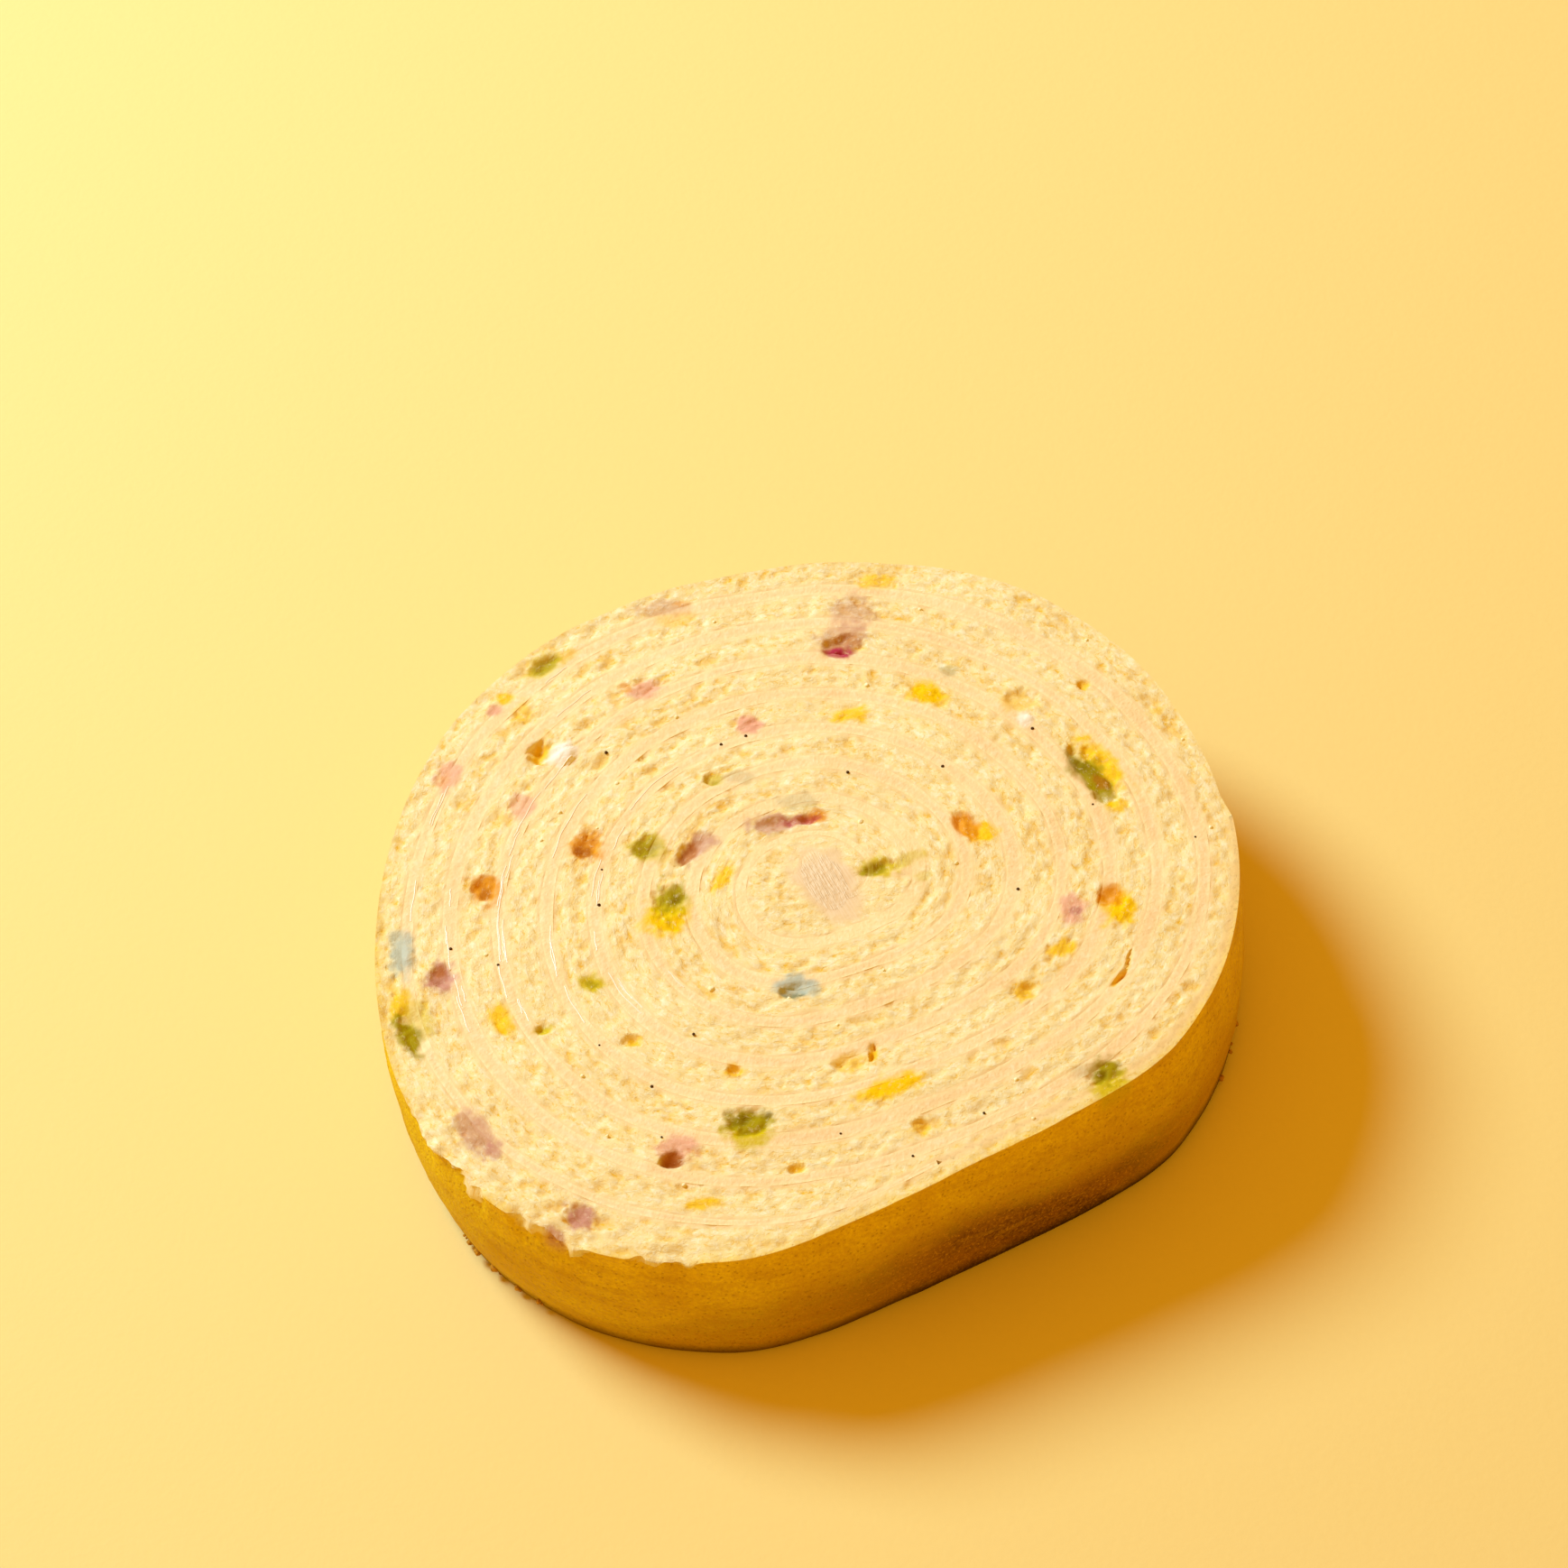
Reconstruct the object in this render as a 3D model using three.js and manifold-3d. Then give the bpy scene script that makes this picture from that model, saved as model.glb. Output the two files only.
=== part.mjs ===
// A slice of swiss roll lying on one of its two cut faces. Millimetres, +Z up.
// Plan places are measured from the hub, the middle of the winding, and the finished
// slice is then moved so that the middle of its box stands on the origin.
import * as THREE from 'three';
import { mergeVertices } from 'three/addons/utils/BufferGeometryUtils.js';
import Module from 'manifold-3d';

// The slice as a whole.
const THICKNESS = 16.6; // at the hub
const WEDGE = 0.05; // the upper cut rises by this much per mm towards +X
const HUB = new THREE.Vector3(0.65, 3.08, 0); // from the middle of the slice's box
const WALL_LEVELS = 5;
const RIM_STEP = 2.0; // along the outer wall

// The wall leans: the lower cut is a little smaller, and shifted against the upper one.
const BASE_SHIFT = new THREE.Vector2(1.5, -1.0);
const BASE_SCALE = 0.985;
const BULGE = 0.7; // how far the wall swells at half height
const TUCK = 0.2; // how far it turns in at the foot
const TUCK_SHARE = 0.25; // the share of the height over which it turns in

// The plan outline is a circle with lobes: a lobe set of order n has n crests of the
// given height, one of them in the direction `at`, in degrees.
const OUTLINE_RADIUS = 40.8;
const OUTLINE_LOBES = [
  { order: 1, height: 3.09, at: -137.6 },
  { order: 2, height: 2.27, at: 37.8 },
  { order: 3, height: 0.96, at: -3.7 },
  { order: 4, height: 0.78, at: -31.3 },
];
// The side that the whole roll lay on is flat, at this distance from the hub.
const FLAT = { at: 298.7, distance: 36.1, blend: 3 };
// A lip of the outermost turn ends in a low step.
const LIP = { at: 8, height: 0.6, length: 48, drop: 4 };

// The filling winds anticlockwise outwards. Turn 0 points along +X.
const COIL_START_RADIUS = 4.54; // of turn 0
const PITCH = 4.455; // sponge and filling together
const COIL_FROM = -0.24;
const COIL_TO = 7.8;
const COIL_LOBES = [
  { order: 1, height: 1.69, at: -135.9 },
  { order: 2, height: 1.92, at: 19.5 },
  { order: 3, height: 0.9, at: -8.5 },
  { order: 4, height: 0.28, at: -17.9 },
];
const COIL_LOBES_FULL_AT = 40; // the radius where the lobes have their full height
const COIL_LOBES_GROWTH = 0.64; // the power of the radius by which they grow
const COIL_STEP = 3.0; // the longest straight along the coil
const FEWEST_STEPS = 32; // in one turn
// The last turn keeps this far inside the skin, and comes nearer to it at its end.
const COVER = 3.0;
const COVER_AT_END = 1.9;
const COVER_THINS_FROM = 7.6;
const COVER_BLEND = 1;

const FILLING_WIDTH = 1.25;
const THIN_FILLING_WIDTH = 0.55; // round the core, and at the outer end
const FILLING_GROWS_FROM = 0.25; // the turns between which it comes to its full width
const FILLING_FULL_FROM = 0.65;
const FILLING_THINS_FROM = 7.45;
// The filling is spread unevenly: waves in its width, each `rate` radians a turn.
const FILLING_WAVES = [
  { share: 0.12, rate: 9, from: 0 },
  { share: 0.08, rate: 23, from: 1 },
];
const CORE_LUMP = { x: 0.4, y: -0.6, length: 7.2, width: 3.8, turned: 113 };
const CORE_LUMP_SIDES = 24;
const GAP = 0.25; // between sponge and filling
const FLATNESS = 0.02; // faces this near to one plane are joined
const WELD = 1e-4; // corners this near to each other are one
const CLEAR = 0.1; // how far the filling's slot runs past both cuts, as a share of the height

// Unevenness of the upper cut: long swells, and the crumb's own short ones.
const SWELLS = [
  { height: 0.16, length: 21, turned: 20 },
  { height: 0.1, length: 2.9, turned: 70 },
];
const SWELLS_FADE_AT = 0.7; // the share of the height below which there are none
const CROSS_RATE = 1.3; // a swell is this much shorter across

// Hollows in the upper cut, where coloured sweets melted or air was caught:
// [x, y, length, width, depth, direction of the length in degrees].
const HOLLOWS = [
  [26.6, 11.0, 9.4, 3.3, 1.5, -56],
  [2.2, 27.4, 4.4, 3.2, 1.7, 15],
  [-26.6, 16.0, 2.2, 3.4, 1.8, -20],
  [-10.3, 11.7, 2.6, 2.2, 1.5, -30],
  [-3.0, 6.4, 6.6, 2.4, 1.3, 5],
  [-12.5, 3.4, 4.6, 2.0, 1.3, 55],
  [-16.7, 3.9, 3.0, 2.8, 0.9, 30],
  [-14.5, -2.4, 3.4, 4.2, 1.1, 0],
  [-22.4, 3.8, 3.2, 3.0, 1.2, 40],
  [-32.3, -0.4, 3.0, 3.4, 1.3, 0],
  [-36.0, -10.5, 2.6, 3.2, 1.3, 10],
  [-38.6, -16.6, 5.4, 2.4, 1.1, -65],
  [14.3, 5.2, 4.6, 2.8, 1.0, -45],
  [6.4, 0.7, 5.2, 2.2, 1.1, 15],
  [-2.2, -12.7, 4.2, 2.6, 1.2, 0],
  [19.2, -14.1, 2.3, 2.3, 1.2, 0],
  [27.8, -3.6, 3.0, 2.8, 1.2, 0],
  [-6.8, -28.1, 5.2, 3.8, 1.2, 0],
  [-13.9, -31.8, 3.4, 2.4, 1.6, 15],
  [26.6, -23.4, 4.2, 3.2, 1.1, 30],
  [4.8, -20.6, 2.0, 1.4, 1.2, 60],
  [2.6, -21.6, 3.6, 2.2, 0.9, 20],
  [19.6, 20.3, 3.8, 2.6, 1.0, 0],
  [-27.1, 26.1, 4.2, 2.6, 1.0, 40],
  [-17.8, -18.4, 2.0, 1.6, 1.1, 0],
  [-26.3, -17.0, 2.2, 1.6, 0.9, 20],
  [-22.6, -37.6, 3.4, 2.8, 0.9, 0],
  [28.6, -12.4, 4.0, 0.9, 1.4, 65],
];

// Sweets and lumps that show in the cut, with their crests above or below it:
// [x, y, length, width, height of the crest, direction of the length in degrees].
const LUMPS = [
  [26.4, 10.9, 7.2, 2.0, -0.3, -56],
  [-25.0, 15.5, 2.6, 2.4, 0.4, 0],
  [20.2, 17.9, 1.9, 1.6, 0.25, 0],
  [-6.6, -28.2, 3.8, 2.4, -0.2, 5],
  [-14.4, -2.2, 2.4, 2.8, -0.2, 0],
  [-2.0, -12.8, 2.8, 1.5, -0.1, 0],
  [26.7, -23.5, 3.0, 2.0, -0.1, 30],
  [-39.4, -7.6, 2.2, 4.6, 0.2, 5],
];
const LUMP_SINK = 1.2; // how deep the middle of a lump lies under the cut
const FINE_FROM = 8; // the least length times width of a hollow or lump with fine faces

// Bites where the cut tore the skin: [direction from the hub in degrees, size]. Each is
// a pebble with the sizes below times its own, turned askew to the wall.
const TEAR_SHAPE = { out: 0.35, length: 2.4, width: 2, depth: 1.1, sink: 0.2, askew: 70 };
const TEARS = [
  [216, 1.3],
  [221, 1.7],
  [226, 1.2],
  [230, 1.9],
  [235, 1.4],
  [239, 2.1],
  [244, 1.5],
  [248, 1.2],
  [252, 1.7],
];

const COLOURS = { sponge: 0xf6dc8c, filling: 0xf7d9a4 };

const wasm = await Module();
wasm.setup();

const radians = THREE.MathUtils.degToRad;
const lerp = THREE.MathUtils.lerp;
const smooth = THREE.MathUtils.smoothstep;

// ---------------------------------------------------------------- plan curves

function lobes(list, angle) {
  return list.reduce((sum, l) => sum + l.height * Math.cos(l.order * (angle - radians(l.at))), 0);
}

// The lip grows slowly up to its step, and drops over a short way.
function lip(angle) {
  const behind = THREE.MathUtils.euclideanModulo(LIP.at - THREE.MathUtils.radToDeg(angle), 360);
  const rise = Math.max(0, 1 - behind / LIP.length);
  const drop = Math.max(0, 1 - (360 - behind) / LIP.drop);
  return LIP.height * Math.max(rise, drop);
}

// The lesser of two values, with the corner between them rounded over `blend`.
function softMin(a, b, blend) {
  const share = THREE.MathUtils.clamp(0.5 + (b - a) / (2 * blend), 0, 1);
  return lerp(b, a, share) - blend * share * (1 - share);
}

function outlineRadius(angle) {
  const round = OUTLINE_RADIUS + lobes(OUTLINE_LOBES, angle) + lip(angle);
  const facing = Math.cos(angle - radians(FLAT.at));
  return facing > 0 ? softMin(round, FLAT.distance / facing, FLAT.blend) : round;
}

function coilRadius(turn) {
  const angle = turn * 2 * Math.PI;
  const round = COIL_START_RADIUS + PITCH * turn;
  const grown = (round / COIL_LOBES_FULL_AT) ** COIL_LOBES_GROWTH;
  const cover = lerp(COVER, COVER_AT_END, smooth(turn, COVER_THINS_FROM, COIL_TO));
  const kept = outlineRadius(angle) - cover;
  return softMin(round + grown * lobes(COIL_LOBES, angle), kept, COVER_BLEND);
}

function fillingWidth(turn) {
  const full = smooth(turn, FILLING_GROWS_FROM, FILLING_FULL_FROM);
  const end = 1 - smooth(turn, FILLING_THINS_FROM, COIL_TO);
  const waves = FILLING_WAVES.reduce((sum, w) => sum + w.share * Math.sin(w.rate * turn + w.from), 0);
  return lerp(THIN_FILLING_WIDTH, FILLING_WIDTH * (1 + waves), full * end);
}

function planPoint(radius, angle) {
  return new THREE.Vector2(radius * Math.cos(angle), radius * Math.sin(angle));
}

// The closed outline of the filling's ribbon, grown by a margin on every side.
function ribbonOutline(margin) {
  const outer = [];
  const inner = [];
  let turn = COIL_FROM - margin / (2 * Math.PI * coilRadius(COIL_FROM));
  const last = COIL_TO + margin / (2 * Math.PI * coilRadius(COIL_TO));
  while (turn < last) {
    const half = fillingWidth(turn) / 2 + margin;
    outer.push(planPoint(coilRadius(turn) + half, turn * 2 * Math.PI));
    inner.push(planPoint(coilRadius(turn) - half, turn * 2 * Math.PI));
    turn += Math.min(COIL_STEP / (2 * Math.PI * coilRadius(turn)), 1 / FEWEST_STEPS);
  }
  return outer.concat(inner.reverse());
}

function sliceOutline() {
  const count = Math.round((2 * Math.PI * OUTLINE_RADIUS) / RIM_STEP);
  return Array.from({ length: count }, (_, i) => {
    const angle = (i / count) * 2 * Math.PI;
    return planPoint(outlineRadius(angle), angle);
  });
}

// ---------------------------------------------------------------- the slice's space

function topHeight(x) {
  return THICKNESS + WEDGE * x;
}

// Carries a point of an upright prism one unit high into the leaning slice.
function lean(point) {
  const below = 1 - point.z;
  const scale = 1 - (1 - BASE_SCALE) * below;
  const height = point.z * topHeight(point.x);
  point.x = point.x * scale + BASE_SHIFT.x * below;
  point.y = point.y * scale + BASE_SHIFT.y * below;
  point.z = height;
}

// Swells the outer wall at half height and turns it in at the foot.
function barrel(point) {
  const out = new THREE.Vector2(point.x, point.y).normalize();
  const foot = TUCK * (1 - smooth(point.z, 0, TUCK_SHARE));
  const swell = BULGE * Math.sin(Math.PI * point.z) - foot;
  point.x += out.x * swell;
  point.y += out.y * swell;
}

function swell(point, { height, length, turned }) {
  const plan = new THREE.Vector2(point.x, point.y);
  plan.rotateAround(new THREE.Vector2(), radians(turned)).multiplyScalar((2 * Math.PI) / length);
  return height * Math.sin(plan.x) * Math.sin(CROSS_RATE * plan.y);
}

// The upper cut's unevenness fades out downwards.
function roughen(point) {
  const near = smooth(point.z / topHeight(point.x), SWELLS_FADE_AT, 1);
  point.z += near * SWELLS.reduce((sum, one) => sum + swell(point, one), 0);
}

function move(geometry, change) {
  const position = geometry.getAttribute('position');
  const point = new THREE.Vector3();
  for (let i = 0; i < position.count; i++) {
    change(point.fromBufferAttribute(position, i));
    position.setXYZ(i, point.x, point.y, point.z);
  }
  return geometry;
}

// ---------------------------------------------------------------- solids

function toSolid(geometry) {
  const bare = geometry.index ? geometry.toNonIndexed() : geometry;
  bare.deleteAttribute('normal');
  bare.deleteAttribute('uv');
  const merged = mergeVertices(bare, WELD);
  const vertProperties = new Float32Array(merged.getAttribute('position').array);
  const triVerts = new Uint32Array(merged.index.array);
  return new wasm.Manifold(new wasm.Mesh({ numProp: 3, vertProperties, triVerts }));
}

function toGeometry(solid) {
  const mesh = solid.getMesh();
  const geometry = new THREE.BufferGeometry();
  geometry.setAttribute('position', new THREE.BufferAttribute(mesh.vertProperties, 3));
  geometry.setIndex(new THREE.BufferAttribute(mesh.triVerts, 1));
  return geometry;
}

function prism(outline, from, to, steps) {
  const shape = new THREE.Shape(outline);
  const geometry = new THREE.ExtrudeGeometry(shape, { depth: to - from, steps, bevelEnabled: false });
  return geometry.translate(0, 0, from);
}

function ellipse(spec, margin) {
  const curve = new THREE.EllipseCurve(
    spec.x,
    spec.y,
    spec.length / 2 + margin,
    spec.width / 2 + margin,
    0,
    2 * Math.PI,
    false,
    radians(spec.turned),
  );
  return curve.getPoints(CORE_LUMP_SIDES).slice(0, -1);
}

// The filling's plan, from one height to another, as one solid.
function fillingPrism(margin, from, to) {
  const ribbon = toSolid(move(prism(ribbonOutline(margin), from, to, 1), lean));
  const lump = toSolid(move(prism(ellipse(CORE_LUMP, margin), from, to, 1), lean));
  return ribbon.add(lump);
}

// An ellipsoid whose middle lies `sink` under the upper cut. Large ones get finer faces.
function pebble(x, y, length, width, depth, turned, sink) {
  const detail = length * width > FINE_FROM ? 1 : 0;
  const geometry = new THREE.IcosahedronGeometry(1, detail);
  geometry.scale(length / 2, width / 2, depth);
  geometry.rotateZ(radians(turned));
  return toSolid(geometry.translate(x, y, topHeight(x) - sink));
}

function tear([at, size]) {
  const { out, length, width, depth, sink, askew } = TEAR_SHAPE;
  const middle = planPoint(outlineRadius(radians(at)) + size * out, radians(at));
  const turned = at + askew;
  return pebble(middle.x, middle.y, size * length, size * width, size * depth, turned, size * sink);
}

function fuse(solids) {
  return solids.reduce((all, one) => all.add(one));
}

const hollows = fuse(HOLLOWS.map(([x, y, l, w, d, t]) => pebble(x, y, l, w, d, t, 0)));
const lumps = fuse(LUMPS.map(([x, y, l, w, h, t]) => pebble(x, y, l, w, h + LUMP_SINK, t, LUMP_SINK)));
const tears = fuse(TEARS.map(tear));

const body = toSolid(move(move(prism(sliceOutline(), 0, 1, WALL_LEVELS), barrel), lean));
const worn = body.subtract(hollows).add(lumps).subtract(tears);
const sponge = worn.subtract(fillingPrism(GAP, -CLEAR, 1 + CLEAR));
const filling = fillingPrism(0, 0, 1).subtract(hollows);

function part(name, solid, colour) {
  const geometry = move(toGeometry(solid.simplify(FLATNESS)), roughen);
  geometry.computeVertexNormals();
  const material = new THREE.MeshStandardMaterial({ color: colour, roughness: 0.85, metalness: 0 });
  const mesh = new THREE.Mesh(geometry, material);
  mesh.name = name;
  return mesh;
}

const slice = new THREE.Group();
slice.position.copy(HUB);
slice.add(part('sponge', sponge, COLOURS.sponge));
slice.add(part('filling', filling, COLOURS.filling));

export default slice;
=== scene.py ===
"""A slice of swiss roll cake: pale sponge wound round a spiral of cream, with coloured
sweets melted into the crumb, lying on one of its two cut faces."""

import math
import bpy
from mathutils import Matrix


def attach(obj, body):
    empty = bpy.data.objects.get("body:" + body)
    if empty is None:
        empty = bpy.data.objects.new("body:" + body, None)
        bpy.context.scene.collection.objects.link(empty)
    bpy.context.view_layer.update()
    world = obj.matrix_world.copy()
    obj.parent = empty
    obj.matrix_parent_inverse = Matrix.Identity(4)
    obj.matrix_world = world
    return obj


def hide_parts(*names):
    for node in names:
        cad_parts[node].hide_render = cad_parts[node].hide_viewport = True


bl_info = {
    "name": "Swiss Roll Slice",
    "version": (1, 0, 0),
    "blender": (4, 5, 0),
    "location": "View3D > Sidebar > Swiss Roll",
    "description": "Builds a slice of swiss roll cake round its packed solids",
    "category": "Add Mesh",
}

import bmesh
import bpy
import numpy as np
from bpy.props import FloatProperty, FloatVectorProperty, IntProperty, PointerProperty
from bpy.types import Operator, Panel, PropertyGroup
from mathutils import Vector
from mathutils.geometry import delaunay_2d_cdt

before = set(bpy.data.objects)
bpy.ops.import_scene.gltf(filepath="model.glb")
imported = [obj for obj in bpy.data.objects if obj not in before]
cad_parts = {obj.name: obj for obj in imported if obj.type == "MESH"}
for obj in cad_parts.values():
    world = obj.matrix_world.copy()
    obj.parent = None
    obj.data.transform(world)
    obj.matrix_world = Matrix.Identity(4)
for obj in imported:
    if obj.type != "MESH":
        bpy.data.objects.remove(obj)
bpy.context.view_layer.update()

MM = 0.001
FULL_TURN = 2 * math.pi
FAR = 9.0  # mm, further than any two turns are apart

# Plan places are in millimetres from the hub of the winding.
HUB = np.array([0.65, 3.08])

# The outline in plan: a circle with lobes, one flat side and a lip.
# A lobe set is (order, height in mm, direction of one crest in degrees).
OUTLINE_RADIUS = 40.8
OUTLINE_LOBES = ((1, 3.09, -137.6), (2, 2.27, 37.8), (3, 0.96, -3.7), (4, 0.78, -31.3))
FLAT_SIDE = {"at": 298.7, "distance": 36.1, "blend": 3.0}
LIP = {"at": 8.0, "height": 0.6, "length": 48.0, "drop": 4.0}

# The winding, which turns anticlockwise outwards.
COIL_FROM = -0.24
COIL_TO = 7.8
COIL_LOBES = ((1, 1.69, -135.9), (2, 1.92, 19.5), (3, 0.9, -8.5), (4, 0.28, -17.9))
COIL_LOBES_FULL_AT = 40.0
COIL_LOBES_GROWTH = 0.64
COVER_AT_END = 1.9
COVER_THINS_FROM = 7.6
CREAM_GROWS = (0.25, 0.65)
CREAM_THINS_FROM = 7.45
CREAM_WAVES = ((0.12, 9.0, 0.0), (0.08, 23.0, 1.0), (0.07, 61.0, 2.0), (0.05, 113.0, 0.0))
RIBBON_STEP = 0.36
RIBBON_OVERLAP = 0.01

# The lump of cream at the hub, and its smear over the crumb: x, y, length, width, direction.
CORE = (0.4, -0.6, 7.2, 3.8, 113.0)
CORE_SMEAR = (0.7, -0.9, 10.0, 6.6, 116.0)
CORE_SIDE = 0.3

# The sponge's mesh: steps along its rim, rows of points down its wall, the spacing on its lower
# cut, and how far loose points are shifted in their pattern, as a share of their spacing.
RIM_STEP = 0.42
WALL_ROWS = 26
LOWER_SPACING = 1.1
JITTER = 0.28
# Loose points keep this far from the rim and from the cream, and are closer round the sweets.
RIM_ROOM = 0.2
CREAM_ROOM = 0.14
SPOT_MARGIN = 0.8

# The long swell of the upper cut.
SWELL = {"height": 0.16, "length": 21.0, "turned": 20.0}

# Hollows where sweets melted or air was caught: x, y, length, width, depth, direction.
HOLLOWS = (
    (26.6, 11.0, 9.4, 3.3, 0.7, -56),
    (2.2, 27.4, 4.4, 2.9, 0.6, 15),
    (-27.2, 15.8, 2.2, 3.4, 0.9, -20),
    (-10.3, 11.7, 2.2, 1.7, 0.5, -30),
    (-4.2, 6.3, 5.2, 1.8, 0.4, 8),
    (-1.4, 6.7, 2.4, 1.3, 0.7, 5),
    (-12.5, 3.4, 4.4, 1.8, 0.6, 55),
    (-16.7, 3.9, 3.0, 2.8, 0.3, 30),
    (-14.5, -2.4, 3.4, 4.2, 0.35, 0),
    (-22.4, 3.8, 3.2, 3.0, 0.35, 40),
    (-22.4, 3.4, 1.2, 1.0, 0.6, 0),
    (-32.3, -0.4, 2.8, 3.0, 0.5, 0),
    (-36.0, -10.5, 2.4, 3.0, 0.5, 10),
    (-38.6, -16.6, 5.4, 2.4, 0.4, -65),
    (14.3, 5.2, 4.2, 2.2, 0.45, -45),
    (6.0, 0.7, 4.6, 1.8, 0.35, 15),
    (-2.6, -13.3, 3.0, 1.8, 0.5, 10),
    (19.2, -14.1, 2.4, 2.3, 0.45, 0),
    (27.8, -3.6, 3.0, 2.8, 0.45, 0),
    (-6.8, -28.1, 4.9, 3.4, 0.45, 0),
    (-13.9, -32.0, 2.5, 1.9, 0.9, 15),
    (26.6, -23.4, 3.9, 2.8, 0.45, 30),
    (4.9, -20.4, 0.7, 2.3, 1.0, -10),
    (2.6, -21.6, 3.6, 2.2, 0.4, 20),
    (19.6, 20.3, 3.8, 2.6, 0.35, 0),
    (-27.1, 26.1, 4.0, 2.2, 0.35, 40),
    (-17.8, -18.4, 1.8, 1.5, 0.4, 0),
    (-26.3, -17.0, 2.0, 1.3, 0.5, 20),
    (-22.6, -37.6, 3.0, 2.4, 0.45, 0),
    (28.3, -12.8, 2.6, 0.5, 0.7, 50),
    (29.2, -10.9, 2.4, 0.45, 0.6, 78),
    (-8.2, -22.2, 1.6, 1.2, 0.5, 10),
    (9.3, -28.9, 1.8, 1.3, 0.5, -10),
    (-2.2, -33.2, 1.7, 1.0, 0.5, 15),
    (25.8, 21.8, 1.4, 1.1, 0.5, 20),
)

# Sweets and lumps that stand in them: x, y, length, width, height of the crest, direction.
LUMPS = (
    (26.4, 10.9, 7.2, 2.0, -0.3, -56),
    (-25.0, 15.4, 3.2, 3.2, 0.45, 0),
    (20.2, 17.9, 1.9, 1.6, 0.25, 0),
    (-6.2, -28.4, 2.6, 1.9, -0.15, 5),
    (-14.4, -2.2, 2.4, 2.8, -0.2, 0),
    (-3.0, -12.2, 1.7, 1.5, 0.0, 20),
    (-1.5, -12.0, 1.9, 1.3, 0.05, -15),
    (26.7, -23.5, 3.0, 2.0, -0.1, 30),
    (-39.4, -7.6, 2.2, 4.6, 0.2, 5),
)
LUMP_SINK = 0.6

# Where the cut tore the rim, in degrees round the hub, and the skin that held on there.
TORN = {"from": 210.0, "to": 257.0, "fade": 5.0}
HELD_SKIN = ((230.3, 3.2), (245.2, 3.8))

# How high the mealy part of the wall, duller than its golden skin, reaches: direction in degrees, height in
# mm.
DULL_LINE = (
    (0, 7.5), (60, 5.0), (180, 4.0), (225, 1.5), (241, 2.5), (250, 5.5), (264, 9.5), (300, 8.5), (360, 7.5),
)
# Directions in degrees: where that line is crisp, where painted shade darkens the meal most on the side
# turned away from the key light, and which side is lit.
CRISP = {"at": 252, "reach": 22}
SHADED_SIDE = {"at": 300, "reach": 26}
LIT_AT = 146

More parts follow.
